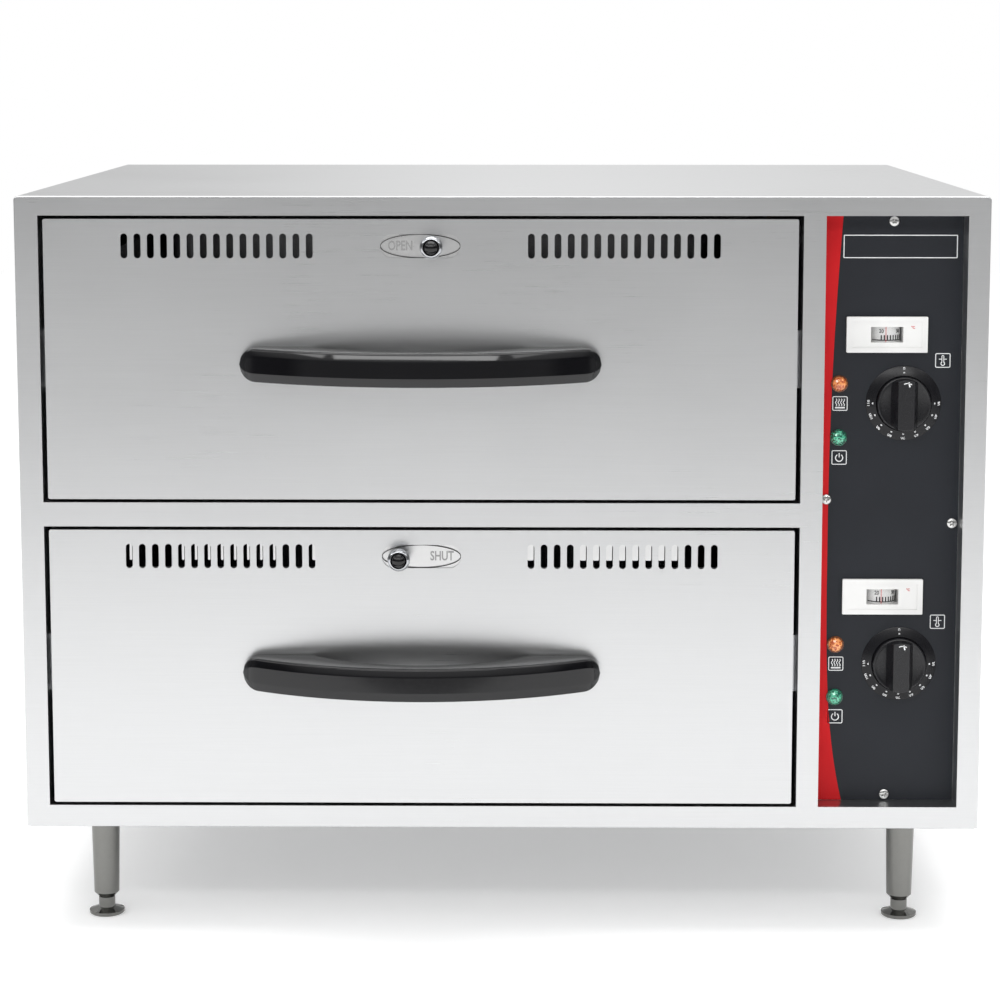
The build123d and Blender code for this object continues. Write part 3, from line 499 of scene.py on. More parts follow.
class Shape:
    """A mesh under construction, measured in millimetres in the CAD frame."""

    CAPITAL_SHARE = 0.72
    LETTER_WEIGHT = 0.028
    HUB = 0.01
    WELD = 1e-7

    def __init__(self) -> None:
        """Starts empty."""
        self.mesh = bmesh.new()

    def ring(self, points: list[Place]) -> list[Corner]:
        """Adds loose vertices and returns them in order."""
        return [self.mesh.verts.new(Vector(point) * MM) for point in points]

    def level(self, outline: Path, y: float) -> list[Corner]:
        """Adds the corners of an (x, z) outline as loose vertices, all at one Y."""
        return self.ring([(x, y, z) for x, z in outline])

    def skin(self, rings: list[list[Corner]], capped: bool = True) -> Self:
        """Joins rings of as many vertices each into a tube.

        Args:
            rings: the rings from one end to the other.
            capped: whether both ends are closed; if not, the last ring joins the first.

        Returns:
            This shape.
        """
        following = rings[1:] if capped else [*rings[1:], rings[0]]
        for one, two in zip(rings, following):
            count = len(one)
            for i in range(count):
                j = (i + 1) % count
                self.mesh.faces.new((one[i], one[j], two[j], two[i]))
        if capped:
            self.mesh.faces.new(list(reversed(rings[0])))
            self.mesh.faces.new(rings[-1])
        return self

    def prism(self, outline: Path, near: float, far: float) -> Self:
        """Adds a flat-faced plate between two values of Y, from the (x, z) corners of its outline."""
        return self.skin([self.level(outline, near), self.level(outline, far)])

    def stroke(self, path: Path, width: float, near: float, far: float, closed: bool = False) -> Self:
        """Adds a printed line of even width.

        Args:
            path: points as (x, z).
            width: width of the line.
            near: Y of its front.
            far: Y of its back.
            closed: whether the last point joins the first.

        Returns:
            This shape.
        """
        count = len(path)
        sides = []
        for i, (x, z) in enumerate(path):
            before = path[i - 1] if closed or i else path[i]
            after = path[(i + 1) % count] if closed or i < count - 1 else path[i]
            along = Vector((after[0] - before[0], after[1] - before[1])).normalized()
            across = Vector((-along.y, along.x)) * width / 2
            left = (x + across.x, z + across.y)
            right = (x - across.x, z - across.y)
            sides.append(self.level([left, right], near) + self.level([right, left], far))
        return self.skin(sides, not closed)

    def spin(self, profile: Path, x: float, z: float, steps: int = 64, closed: bool = False) -> Self:
        """Turns a profile round an axis along Y.

        Args:
            profile: (radius, y) from one end to the other.
            x: X of the axis.
            z: Z of the axis.
            steps: sides of the turned form.
            closed: whether the last point joins the first, as on a ring.

        Returns:
            This shape.
        """
        rings = []
        for radius, y in profile:
            reach = max(radius, self.HUB)
            circle = [(x + reach * math.sin(a), z + reach * math.cos(a)) for a in turns(steps)]
            rings.append(self.level(circle, y))
        return self.skin(rings, not closed)

    def words(self, text: str, height: float, place: Place, turn: float = 0.0, narrow: float = 1.0) -> Self:
        """Adds lettering that faces the front.

        Args:
            text: the figures or word.
            height: height of a capital.
            place: middle of its face.
            turn: clockwise turn as seen from the front, in radians.
            narrow: width of the letters as a share of their usual width.

        Returns:
            This shape.
        """
        curve = bpy.data.curves.new("lettering", "FONT")
        curve.body = text
        curve.align_x = "CENTER"
        curve.align_y = "CENTER"
        curve.size = height * MM / self.CAPITAL_SHARE
        curve.extrude = PRINT_DEPTH * MM
        curve.resolution_u = 3
        curve.offset = height * MM * self.LETTER_WEIGHT
        letters = linked("lettering", curve)
        flat = settled(letters)
        stand = Matrix.Translation(Vector(place) * MM) @ Matrix.Rotation(turn, 4, "Y")
        stand = stand @ Matrix.Rotation(math.pi / 2, 4, "X")
        flat.transform(stand @ Matrix.Diagonal((narrow, 1.0, 1.0, 1.0)))
        self.mesh.from_mesh(flat)
        bpy.data.objects.remove(letters)
        bpy.data.meshes.remove(flat)
        return self

    def wrapped(self, x: float, y: float, radius: float) -> Self:
        """Bends a flat print round an upright drum, whose axis stands at x, y.

        Args:
            x: X of the drum's axis.
            y: Y of the drum's axis.
            radius: radius of the drum.

        Returns:
            This shape.
        """
        for vert in self.mesh.verts:
            angle = vert.co.x / MM / radius
            reach = radius + (y - radius) - vert.co.y / MM
            vert.co.x = (x + reach * math.sin(angle)) * MM
            vert.co.y = (y - reach * math.cos(angle)) * MM
        return self

    def object(self, name: str, finish: Material, smooth: float = 0.0) -> Piece:
        """Ends the shape.

        Args:
            name: name of the new object.
            finish: its material.
            smooth: edges flatter than this many degrees are shaded smooth.

        Returns:
            The new object, linked to the scene.
        """
        bmesh.ops.remove_doubles(self.mesh, verts=self.mesh.verts, dist=self.WELD)
        bmesh.ops.recalc_face_normals(self.mesh, faces=self.mesh.faces)
        if smooth:
            limit = math.radians(smooth)
            for face in self.mesh.faces:
                face.smooth = True
            for edge in self.mesh.edges:
                edge.smooth = edge.calc_face_angle(0.0) < limit
        data = bpy.data.meshes.new(name)
        self.mesh.to_mesh(data)
        self.mesh.free()
        data.materials.append(finish)
        return linked(name, data)


# ---------------------------------------------------------------- repeated marks
class Repeater(NodeBuilder):
    """A Geometry Nodes tree that repeats the mesh it is given, with named inputs for its sizes."""

    def __init__(self, name: str, kinds: dict[str, str]) -> None:
        """Starts the tree.

        Args:
            name: name of the tree.
            kinds: kind of socket of each input.
        """
        self.tree = bpy.data.node_groups.new(name, "GeometryNodeTree")
        super().__init__(self.tree)
        self.sockets = {}
        for label, kind in {"Mark": "Geometry", **kinds, "Finish": "Material"}.items():
            made = self.tree.interface.new_socket(label, in_out="INPUT", socket_type=f"NodeSocket{kind}")
            self.sockets[label] = made.identifier
        self.tree.interface.new_socket("Geometry", in_out="OUTPUT", socket_type="NodeSocketGeometry")
        self.given = self.nodes.new("NodeGroupInput")

    def turned(self, angle: Socket) -> Socket:
        """Makes a turn of an angle in radians about the given axis."""
        inputs = {0: self.given.outputs["Axis"], "Scale": angle}
        return self.node("ShaderNodeVectorMath", inputs, operation="SCALE").outputs["Vector"]

    def finish(self, points: Socket, **turn: Socket) -> None:
        """Ends the tree: the mark on each point, made real and given its finish.

        Args:
            points: where the marks go.
            turn: the Rotation of each mark, where it has one.
        """
        inputs = {"Points": points, "Instance": self.given.outputs["Mark"], **turn}
        copies = self.node("GeometryNodeInstanceOnPoints", inputs).outputs["Instances"]
        real = self.node("GeometryNodeRealizeInstances", {"Geometry": copies}).outputs["Geometry"]
        inputs = {"Geometry": real, "Material": self.given.outputs["Finish"]}
        dressed = self.node("GeometryNodeSetMaterial", inputs).outputs["Geometry"]
        self.node("NodeGroupOutput", {"Geometry": dressed})

    def apply(self, mark: Piece, sizes: dict[str, object]) -> Piece:
        """Runs the tree on a mark and turns the result into a plain mesh with the mark's finish.

        Args:
            mark: the object whose mesh is repeated.
            sizes: a value for each named input.

        Returns:
            The same object, now with every copy in its mesh.
        """
        modifier = mark.modifiers.new("repeat", "NODES")
        modifier.node_group = self.tree
        for label, amount in {**sizes, "Finish": mark.active_material}.items():
            modifier[self.sockets[label]] = amount
        whole = settled(mark)
        mark.modifiers.remove(modifier)
        mark.data = whole
        return mark


class TurnRepeater(Repeater):
    """Repeats a mark round an axis, as on a dial, a drum or a cut lens."""

    def __init__(self) -> None:
        """Builds the tree."""
        kinds = {"Centre": "Vector", "Axis": "Vector", "First Turn": "Float"}
        kinds |= {"Turn Step": "Float", "Count": "Int"}
        super().__init__("marks_round_an_axis", kinds)
        given = self.given.outputs
        inputs = {"Count": given["Count"], "Start Location": given["Centre"], "Offset": (0, 0, 0)}
        points = self.node("GeometryNodeMeshLine", inputs).outputs["Mesh"]
        index = self.node("GeometryNodeInputIndex", {}).outputs[0]
        inputs = {0: index, 1: given["Turn Step"], 2: given["First Turn"]}
        angle = self.node("ShaderNodeMath", inputs, operation="MULTIPLY_ADD").outputs[0]
        self.finish(points, Rotation=self.turned(angle))

    def around(self, mark: Piece, centre: Place, axis: Axis, first: float, step: float, count: int) -> Piece:
        """Repeats a mark round an axis through a point, from a first turn on in equal steps, in radians."""
        sizes = {"Centre": Vector(centre) * MM, "Axis": axis.value, "First Turn": first}
        return self.apply(mark, sizes | {"Turn Step": step, "Count": count})


class RowRepeater(Repeater):
    """Repeats a mark along a straight row."""

    def __init__(self) -> None:
        """Builds the tree."""
        super().__init__("marks_in_a_row", {"Start": "Vector", "Step": "Vector", "Count": "Int"})
        given = self.given.outputs
        inputs = {"Count": given["Count"], "Start Location": given["Start"], "Offset": given["Step"]}
        self.finish(self.node("GeometryNodeMeshLine", inputs).outputs["Mesh"])


class PlaceRepeater(Repeater):
    """Puts a mark on every vertex of a mesh of places, each with a turn of its own."""

    def __init__(self) -> None:
        """Builds the tree."""
        kinds = {"Places": "Object", "Axis": "Vector", "Most Turn": "Float", "Seed": "Int"}
        super().__init__("marks_on_places", kinds)
        given = self.given.outputs
        places = self.node("GeometryNodeObjectInfo", {"Object": given["Places"]}).outputs["Geometry"]
        chance = self.node("FunctionNodeRandomValue", {"Seed": given["Seed"]}).outputs[1]
        inputs = {0: chance, 1: given["Most Turn"]}
        angle = self.node("ShaderNodeMath", inputs, operation="MULTIPLY").outputs[0]
        self.finish(places, Rotation=self.turned(angle))


# ---------------------------------------------------------------- sub-assemblies
@dataclass
class Assembly:
    """What the sub-assemblies share: the finishes, and how a piece is joined and handed over."""

    finishes: Finishes

    def hand_over(self, piece: Piece, body: str, slot: str, *nodes: str) -> None:
        """Fixes a piece to its CAD body.

        Args:
            piece: the finished object.
            body: the CAD body that it moves with.
            slot: the record's material slot of its finish; not used.
            nodes: the CAD nodes that it stands for.
        """
        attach(piece, body)
        if nodes:
            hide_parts(*nodes)
        log.info("%s rides on %s: %d faces", piece.name, body, len(piece.data.polygons))

    def joined(self, pieces: list[Piece], name: str) -> Piece:
        """Makes one object of several, with all of their finishes.

        Args:
            pieces: the objects, which are removed.
            name: name of the whole.

        Returns:
            The joined object.
        """
        whole = bmesh.new()
        materials = []
        for piece in pieces:
            start = len(whole.faces)
            whole.from_mesh(piece.data)
            whole.faces.ensure_lookup_table()
            own = [slot.material for slot in piece.material_slots]
            materials += [m for m in own if m not in materials]
            for face in whole.faces[start:]:
                face.material_index = materials.index(own[face.material_index])
        data = bpy.data.meshes.new(name)
        whole.to_mesh(data)
        whole.free()
        for material in materials:
            data.materials.append(material)
        for piece in pieces:
            bpy.data.objects.remove(piece)
        return linked(name, data)


@dataclass
class Handle:
    """Bow handle of one drawer: an arched bar that grows out of a foot at each end."""

    length: float = 279.0
    height: float = 26.0
    reach: float = 55.0
    tip_reach: float = 13.0
    tip_drop: float = 4.5
    inner_reach: float = 37.0
    inner_half: float = 86.5
    full_depth: float = 12.0
    bevels_start: float = 8.0
    stations: int = 96
    crowding: float = 0.55

    def arc_reach(self, x: float, half: float, rise: float) -> float:
        """How far an arc stands out.

        Args:
            x: distance from its middle.
            half: half its chord.
            rise: how far it stands out at the middle.

        Returns:
            The reach at x, 0 beyond the chord.
        """
        if abs(x) >= half:
            return 0.0
        radius = (half * half + rise * rise) / (2 * rise)
        return math.sqrt(radius * radius - x * x) - (radius - rise)

    def section(self, x: float) -> list[Place]:
        """One cross-section, at a distance x from the middle of the bar.

        Args:
            x: that distance.

        Returns:
            Its points, relative to the middle of the handle on the drawer's face.
        """
        half = self.length / 2
        end = self.height / 2
        beyond = max(0.0, abs(x) - (half - end))
        tall = math.sqrt(max(end * end - beyond * beyond, 1e-4))
        front = self.tip_reach + self.arc_reach(x, half, self.reach - self.tip_reach)
        front -= self.tip_drop * (beyond / end) ** 3
        back = self.arc_reach(x, self.inner_half, self.inner_reach)
        size = min(1.0, (front - back) / self.full_depth, tall / self.bevels_start)
        points = [(x, size * drop - front, tall * up) for drop, up in self.front_profile()]
        points += [(x, -size * rise - back, tall * up) for rise, up in self.back_profile()]
        return points

    def front_profile(self) -> Path:
        """Front of the bar from the bottom up, as (mm behind its foremost line, share of half its height)."""
        below = [(4.2, -1.0), (2.2, -0.965), (1.75, -0.93), (1.65, -0.9), (0.35, -0.56), (0.25, -0.53)]
        face = [(0.0, -0.46), (0.03, -0.43), (0.85, 0.47), (0.88, 0.5)]
        above = [(1.1, 0.56), (1.2, 0.59), (2.5, 0.87), (2.62, 0.895), (3.2, 0.95), (4.8, 1.0)]
        return below + face + above

    def back_profile(self) -> Path:
        """Back of the bar from the top down, as (mm before its rearmost line, share of half its height)."""
        return [(2.5, 1.0), (0.8, 0.96), (0.0, 0.82), (0.0, -0.82), (0.8, -0.96), (2.5, -1.0)]

    def shape(self, bay: Bay) -> Shape:
        """Builds the bar on its two feet for one drawer, with its sections closer towards the ends."""
        made = Shape()
        rings = []
        half = self.length / 2
        for i in range(self.stations + 1):
            curved = -math.cos(math.pi * i / self.stations) * half
            even = (2 * i / self.stations - 1) * half
            place = self.section(self.crowding * curved + (1 - self.crowding) * even)
            rings.append(made.ring([(DRAWER_X + a, FRONT_Y + b, bay.handle_z + c) for a, b, c in place]))
        return made.skin(rings)


@dataclass
class Drawers(Assembly):
    """Handle, vent ball, stamped words and the painted shadow round the oval of each drawer."""

    handle: Handle = field(default_factory=Handle)
    plate_depth: float = 1.3
    ball_reach: float = 15.0
    ball_radius: float = 5.75
    ball_height: float = 5.3
    word_height: float = 7.4
    word_narrow: float = 0.72
    open_shift: float = -24.2
    shut_shift: float = 33.0
    oval_half_width: float = 30.65
    oval_half_height: float = 9.0
    edge_width: float = 0.5
    edge_front: float = 0.05
    edge_back: float = 0.98

    def build(self) -> None:
        """Builds the pieces of both drawers."""
        for bay in BAYS:
            bar = self.handle.shape(bay).object(f"{bay.name}_bow_handle", self.finishes["black_gloss"], 50.0)
            self.hand_over(bar, f"{bay.name}_drawer", "black_gloss", f"{bay.name}_handle")
            self.build_vent_ball(bay)
            self.build_words(bay)
            self.build_oval_edge(bay)

    def build_oval_edge(self, bay: Bay) -> None:
        """Near-black ring that lines the oval window: painted shadow of the gap round the window's edge."""
        wide, tall = self.oval_half_width, self.oval_half_height
        path = [(DRAWER_X + wide * math.cos(a), bay.vent_z + tall * math.sin(a)) for a in turns(96)]
        rim = Shape().stroke(path, self.edge_width, FRONT_Y + self.edge_front, FRONT_Y + self.edge_back, True)
        edge = rim.object(f"{bay.name}_oval_edge", self.finishes["raw_edge"])
        self.hand_over(edge, f"{bay.name}_drawer", "brushed_stainless")

    def build_vent_ball(self, bay: Bay) -> None:
        """Black ball in a chromed cup, on the stem of the vent slide."""
        face = FRONT_Y + self.plate_depth
        middle = FRONT_Y - self.ball_reach
        cup = [(8.2, 3.0), (8.0, 7.4), (6.6, 8.3), (3.0, 8.75), (0.0, 8.8), (-1.9, 8.55), (-3.3, 7.9)]
        cup += [(-4.0, 7.1), (-4.1, 6.4), (-3.6, 5.9), (-2.4, 5.7), (-2.4, 0.0)]
        profile = [(0.0, face), (3.0, face), *[(radius, middle + depth) for depth, radius in cup]]
        metal = Shape().spin(profile, bay.ball_x, bay.vent_z).object("cup", self.finishes["chrome"], 40.0)
        rise = [i * math.pi / 24 for i in range(12)]
        seat = middle - 2.3
        dome = [(self.ball_radius * math.cos(a), seat - self.ball_height * math.sin(a)) for a in rise]
        dome = [(0.0, middle - 2.2), *dome, (0.0, middle - 7.6)]
        ball = Shape().spin(dome, bay.ball_x, bay.vent_z).object("ball", self.finishes["black_gloss"], 60.0)
        whole = self.joined([metal, ball], f"{bay.name}_vent_ball")
        self.hand_over(whole, f"{bay.name}_vent", "chrome", f"{bay.name}_vent_knob")

    def build_words(self, bay: Bay) -> None:
        """Words stamped on the slide plate: the oval window shows the one that its place gives."""
        stamp = Shape()
        for word, shift in (("OPEN", self.open_shift), ("SHUT", self.shut_shift)):
            place = (bay.ball_x + shift, FRONT_Y + self.plate_depth, bay.vent_z)
            stamp.words(word, self.word_height, place, narrow=self.word_narrow)
        words = stamp.object(f"{bay.name}_stamped_words", self.finishes["dark_stamp"])
        self.hand_over(words, f"{bay.name}_vent", "plate_steel")


@dataclass
class ColumnPrint(Assembly):
    """Red sweep, bare nameplate and pictograms printed on the column's overlay."""

    sweep_left: float = 249.3
    sweep_low: float = 105.8
    sweep_high: float = 570.7
    waist_z: float = 330.0
    waist_width: float = 6.4
    top_flare: float = 8.6
    bottom_flare: float = 13.8
    badge_x: float = 308.8
    badge_z: float = 546.2
    badge_width: float = 87.6
    badge_height: float = 17.4
    badge_corner: float = 0.4
    badge_line: float = 0.7
    icon_width: float = 11.2
    icon_height: float = 10.7
    icon_corner: float = 0.9
    icon_line: float = 0.62
    left_icons_x: float = 263.8
    right_icons_x: float = 343.2
    wave_low: float = -2.1
    wave_height: float = 5.8
    wave_pitch: float = 2.0
    row: RowRepeater = field(default_factory=RowRepeater)

    def build(self) -> None:
        """Builds the print."""
        self.build_sweep()
        self.build_badge()
        self.build_icons()

    def line(self, shape: Shape, path: Path, width: float, closed: bool = False) -> None:
        """Prints a line of one width along a path on the overlay."""
        shape.stroke(path, width, PRINT_FRONT, PRINT_BACK, closed)

    def sweep_edge(self, z: float) -> Flat:
        """Returns the point of the sweep's hollowed edge at a height."""
        above = (z - self.waist_z) / (self.sweep_high - self.waist_z)
        below = (self.waist_z - z) / (self.waist_z - self.sweep_low)
        flare = self.top_flare * above**2 if z > self.waist_z else self.bottom_flare * below**4
        return self.sweep_left + self.waist_width + flare, z

    def build_sweep(self) -> None:
        """Red sweep down the left edge of the overlay, hollowed towards the middle."""
        left, steps = self.sweep_left, 48
        rise = (self.sweep_high - self.sweep_low) / steps
        edge = [self.sweep_edge(self.sweep_low + rise * i) for i in range(steps + 1)]
        shape = Shape()
        for low, high in zip(edge, edge[1:]):
            shape.prism([(left, low[1]), low, high, (left, high[1])], PRINT_FRONT, PRINT_BACK)
        sweep = shape.object("red_sweep", self.finishes["red_ink"])
        self.hand_over(sweep, "cabinet", "overlay_print")

    def build_badge(self) -> None:
        """Bare nameplate field: only its thin border."""
        shape = Shape()
        box = rounded_box(self.badge_width, self.badge_height, self.badge_corner, self.badge_x, self.badge_z)
        self.line(shape, box, self.badge_line, True)
        badge = shape.object("bare_nameplate_border", self.finishes["white_ink"])
        self.hand_over(badge, "cabinet", "overlay_print")

    def build_icons(self) -> None:
        """Prints the heat, power and thermometer pictograms beside both dials."""
        shape = Shape()
        waves = []
        for bay in BAYS:
            self.print_heat(shape, self.left_icons_x, bay.dial_z - 0.4)
            waves.append(self.build_waves(self.left_icons_x, bay.dial_z - 0.4))
            self.print_power(shape, self.left_icons_x, bay.dial_z - 43.0)
            self.print_thermometer(shape, self.right_icons_x, bay.dial_z + 33.5)
        frames = shape.object("pictogram_lines", self.finishes["white_ink"])
        icons = self.joined([frames, *waves], "pictograms")
        self.hand_over(icons, "cabinet", "overlay_print")

    def print_frame(self, shape: Shape, x: float, z: float) -> None:
        """Prints the rounded frame of a pictogram."""
        box = rounded_box(self.icon_width, self.icon_height, self.icon_corner, x, z)
        self.line(shape, box, self.icon_line, True)

    def print_heat(self, shape: Shape, x: float, z: float) -> None:
        """Prints the frame and the hot plate of the heat pictogram."""
        self.print_frame(shape, x, z)
        self.line(shape, [(x - 3.8, z - 3.3), (x + 3.8, z - 3.3)], 1.1)

    def print_power(self, shape: Shape, x: float, z: float) -> None:
        """Prints the frame, the open ring and the upright stroke of the power pictogram."""
        self.print_frame(shape, x, z)
        self.line(shape, arc(x, z - 0.3, 2.8, 32.0, 328.0), 0.75)
        self.line(shape, [(x, z + 0.1), (x, z + 3.5)], 0.75)

    def print_thermometer(self, shape: Shape, x: float, z: float) -> None:
        """Prints the frame, the bulb, the tube and the two marks of the thermometer pictogram."""
        self.print_frame(shape, x, z)
        self.line(shape, arc(x, z - 2.5, 1.4, 25.0, 335.0), 0.7)
        tube = [(x - 0.75, z - 1.2), *arc(x, z + 3.2, 0.75, -90.0, 90.0, 8), (x + 0.75, z - 1.2)]
        self.line(shape, tube, 0.55)
        for side in (-1, 1):
            self.line(shape, [(x + side * 1.1, z + 1.0), (x + side * 3.1, z + 1.0)], 0.6)

    def build_waves(self, x: float, z: float) -> Piece:
        """Four rising waves of the heat pictogram.

        Args:
            x: X of the pictogram's middle.
            z: Z of the pictogram's middle.

        Returns:
            The waves as one object.
        """
        steps = 20
        climb = [self.wave_height * i / steps for i in range(steps + 1)]
        path = [(0.5 * math.sin(1.62 * up), self.wave_low + up) for up in climb]
        wave = Shape().stroke(path, self.icon_line, -PRINT_DEPTH, PRINT_DEPTH)
        mark = wave.object("wave", self.finishes["white_ink"])
        start = Vector((x - 1.5 * self.wave_pitch, OVERLAY_Y, z)) * MM
        return self.row.apply(mark, {"Start": start, "Step": (self.wave_pitch * MM, 0.0, 0.0), "Count": 4})


@dataclass
class Dials(Assembly):
    """Sloping dial round each knob, with its dots and figures."""

    inner: float = 21.5
    outer: float = 29.3
    inner_height: float = 3.0
    slope: float = 2.3
    dot_radius: float = 0.78
    dot_place: float = 24.0
    figure_place: float = 26.9
    figure_height: float = 2.5
    first_turn: float = 90.0
    turn_step: float = 22.5
    marks: int = 9
    turning: TurnRepeater = field(default_factory=TurnRepeater)

    def cone_y(self, radius: float) -> float:
        """Y of the dial's sloping face at a radius."""
        return OVERLAY_Y - self.inner_height + self.slope * (radius - self.inner) / (self.outer - self.inner)

    def build(self) -> None:
        """Builds both dials."""
        inner, outer = self.inner, self.outer
        profile = [(inner, OVERLAY_Y), (inner, OVERLAY_Y - 2.7), (inner + 0.3, self.cone_y(inner + 0.3))]
        profile += [(outer - 0.5, self.cone_y(outer - 0.5)), (outer, OVERLAY_Y - 0.6), (outer, OVERLAY_Y)]
        faces = Shape()
        for bay in BAYS:
            faces.spin(profile, DIAL_X, bay.dial_z, 128, True)
        ring = faces.object("dial_faces", self.finishes["dial_metal"], 30.0)
        self.hand_over(ring, "cabinet", "dial_metal", "dial_rings")
        runs = ((self.first_turn, self.marks), (0.0, 1))
        marks = [self.build_dots(bay, *run) for bay in BAYS for run in runs]
        marks += [self.build_figures(bay) for bay in BAYS]
        self.hand_over(self.joined(marks, "dial_figures"), "cabinet", "dial_metal")

    def build_dots(self, bay: Bay, first_turn: float, count: int) -> Piece:
        """Dots of one dial.

        Args:
            bay: the dial's drawer.
            first_turn: clockwise turn of the first dot from the top, in degrees.
            count: number of dots.

        Returns:
            The dots as one object.
        """
        near, radius = self.cone_y(self.dot_place), self.dot_radius
        profile = [(0.0, near + 0.3), (radius, near + 0.3), (radius, near - 0.1), (0.0, near - 0.1)]
        dot = Shape().spin(profile, 0.0, self.dot_place, 12).object("dot", self.finishes["white_ink"])
        first, step = math.radians(first_turn), math.radians(self.turn_step)
        return self.turning.around(dot, (DIAL_X, 0.0, bay.dial_z), Axis.DEPTH, first, step, count)

    def build_figures(self, bay: Bay) -> Piece:
        """Figures of one dial, from 30 to 110 round it and 0 at the top.

        Args:
            bay: the dial's drawer.

        Returns:
            The figures as one object.
        """
        figures = Shape()
        near = self.cone_y(self.figure_place)
        for i in range(self.marks):
            turn = math.radians(self.first_turn + self.turn_step * i)
            x = DIAL_X + self.figure_place * math.sin(turn)
            z = bay.dial_z + self.figure_place * math.cos(turn)
            figures.words(str(30 + 10 * i), self.figure_height, (x, near, z), turn)
        figures.words("0", self.figure_height, (DIAL_X, near, bay.dial_z + self.figure_place + 0.2))
        return figures.object("figures", self.finishes["white_ink"])


@dataclass
class Knobs(Assembly):
    """Knob of each dial: a round skirt with a broad upright grip, and its white pointer."""

    radius: float = 21.0
    gap: float = 0.6
    skirt_height: float = 6.2
    height: float = 17.0

    def build(self) -> None:
        """Builds both knobs."""
        back = OVERLAY_Y - self.gap
        for bay in BAYS:
            parts = [self.build_skirt(bay, back, back - self.skirt_height)]
            parts.append(self.build_grip(bay, back - self.skirt_height, back - self.height))
            knob = self.joined(parts, f"{bay.name}_turning_knob")
            self.hand_over(knob, f"{bay.name}_dial", "black_gloss", f"{bay.name}_knob")
            self.build_pointer(bay, back - self.height)

    def build_skirt(self, bay: Bay, back: float, front: float) -> Piece:
        """Round skirt with a raised rim.

        Args:
            bay: the knob's drawer.
            back: Y of its back.
            front: Y of its rim.

        Returns:
            The skirt.
        """
        rim = self.radius
        profile = [(0.0, back), (rim, back), (rim, front + 1.2), (rim - 0.4, front + 0.3), (rim - 1.1, front)]
        profile += [(rim - 2.6, front + 0.5), (rim - 3.4, front + 0.8), (0.0, front + 0.8)]
        skirt = Shape().spin(profile, DIAL_X, bay.dial_z, 96)
        return skirt.object("skirt", self.finishes["knob_satin"], 25.0)

    def build_grip(self, bay: Bay, back: float, front: float) -> Piece:
        """Upright grip: at each level a bar cut off by a circle.

        Args:
            bay: the knob's drawer.
            back: Y of the skirt's rim.
            front: Y of the grip's front.

        Returns:
            The grip.
        """
        rim = self.radius
        levels = [(10.6, rim - 1.6, back + 1.2), (9.4, rim - 1.2, back - 2.0), (6.6, rim - 1.2, front + 1.0)]
        levels += [(6.3, rim - 1.35, front + 0.35), (5.7, rim - 1.9, front)]
        grip = Shape()
        rings = []
        for half, radius, y in levels:
            reach = math.degrees(math.asin(half / radius))
            top = arc(DIAL_X, bay.dial_z, radius, -reach, reach, 12)
            rings.append(grip.level(top + arc(DIAL_X, bay.dial_z, radius, 180 - reach, 180 + reach, 12), y))
        return grip.skin(rings).object("bar", self.finishes["knob_satin"], 25.0)

    def build_pointer(self, bay: Bay, front: float) -> None:
        """White hand on the grip's front: a short stroke over a curved one."""
        top = bay.dial_z + self.radius - 2.6
        near, far = front - 0.1, front + 0.2
        pointer = Shape().stroke([(DIAL_X + 1.6, top), (DIAL_X + 2.4, top - 3.8)], 1.1, near, far)
        pointer.stroke(arc(DIAL_X + 0.6, top - 6.8, 6.0, -28.0, 34.0, 10), 0.7, near, far)
        mark = pointer.object(f"{bay.name}_pointer", self.finishes["white_ink"])
        self.hand_over(mark, f"{bay.name}_dial", "black_gloss")


@dataclass
class Screws(Assembly):
    """Domed cross-head screws of the control panel."""

    cross_length: float = 5.0
    cross_width: float = 1.25
    cross_taper: float = 0.4
    cross_floor: float = 0.4
    cutter_height: float = 2.6
    spots: tuple[Flat, ...] = ((303.5, 565.8), (254.2, 347.7), (352.8, 328.9), (303.5, 110.7))
    chance: int = 5
    places: PlaceRepeater = field(default_factory=PlaceRepeater)

    def build(self) -> None:
        """Builds the screws, each with a turn of its own."""
        data = bpy.data.meshes.new("screw_places")
        data.from_pydata([Vector((x, OVERLAY_Y, z)) * MM for x, z in self.spots], [], [])
        spots = linked("screw_places", data)
        sizes = {"Places": spots, "Axis": Axis.DEPTH.value, "Most Turn": math.pi / 2, "Seed": self.chance}
        screws = self.places.apply(self.build_head(), sizes)
        bpy.data.objects.remove(spots)
        screws.name = "cross_head_screws"
        self.hand_over(screws, "cabinet", "bright_metal", "panel_screws")

    def build_head(self) -> Piece:
        """Cuts the tapered cross into a domed head.

        Returns:
            The head of one screw.
        """
        dome = [(0.0, 0.0), (4.15, 0.0), (4.2, -0.7), (3.8, -1.4), (2.9, -1.95), (1.6, -2.18), (0.0, -2.2)]
        head = Shape().spin(dome, 0.0, 0.0, 40).object("screw_head", self.finishes["bright_metal"], 40.0)
        cutter = Shape()
        for wide, tall in ((self.cross_length, self.cross_width), (self.cross_width, self.cross_length)):
            corners = [(sx * wide / 2, sz * tall / 2) for sx, sz in ((1, 1), (-1, 1), (-1, -1), (1, -1))]
            tip = [(self.cross_taper * x, self.cross_taper * z) for x, z in corners]
            cutter.skin([cutter.level(corners, -self.cutter_height), cutter.level(tip, -self.cross_floor)])
        tool = cutter.object("cross", self.finishes["bright_metal"])
        cut = head.modifiers.new("cross", "BOOLEAN")
        cut.operation = "DIFFERENCE"
        cut.solver = "EXACT"
        cut.use_self = True
        cut.object = tool
        shaped = settled(head)
        head.modifiers.clear()
        head.data = shaped
        bpy.data.objects.remove(tool)
        return head


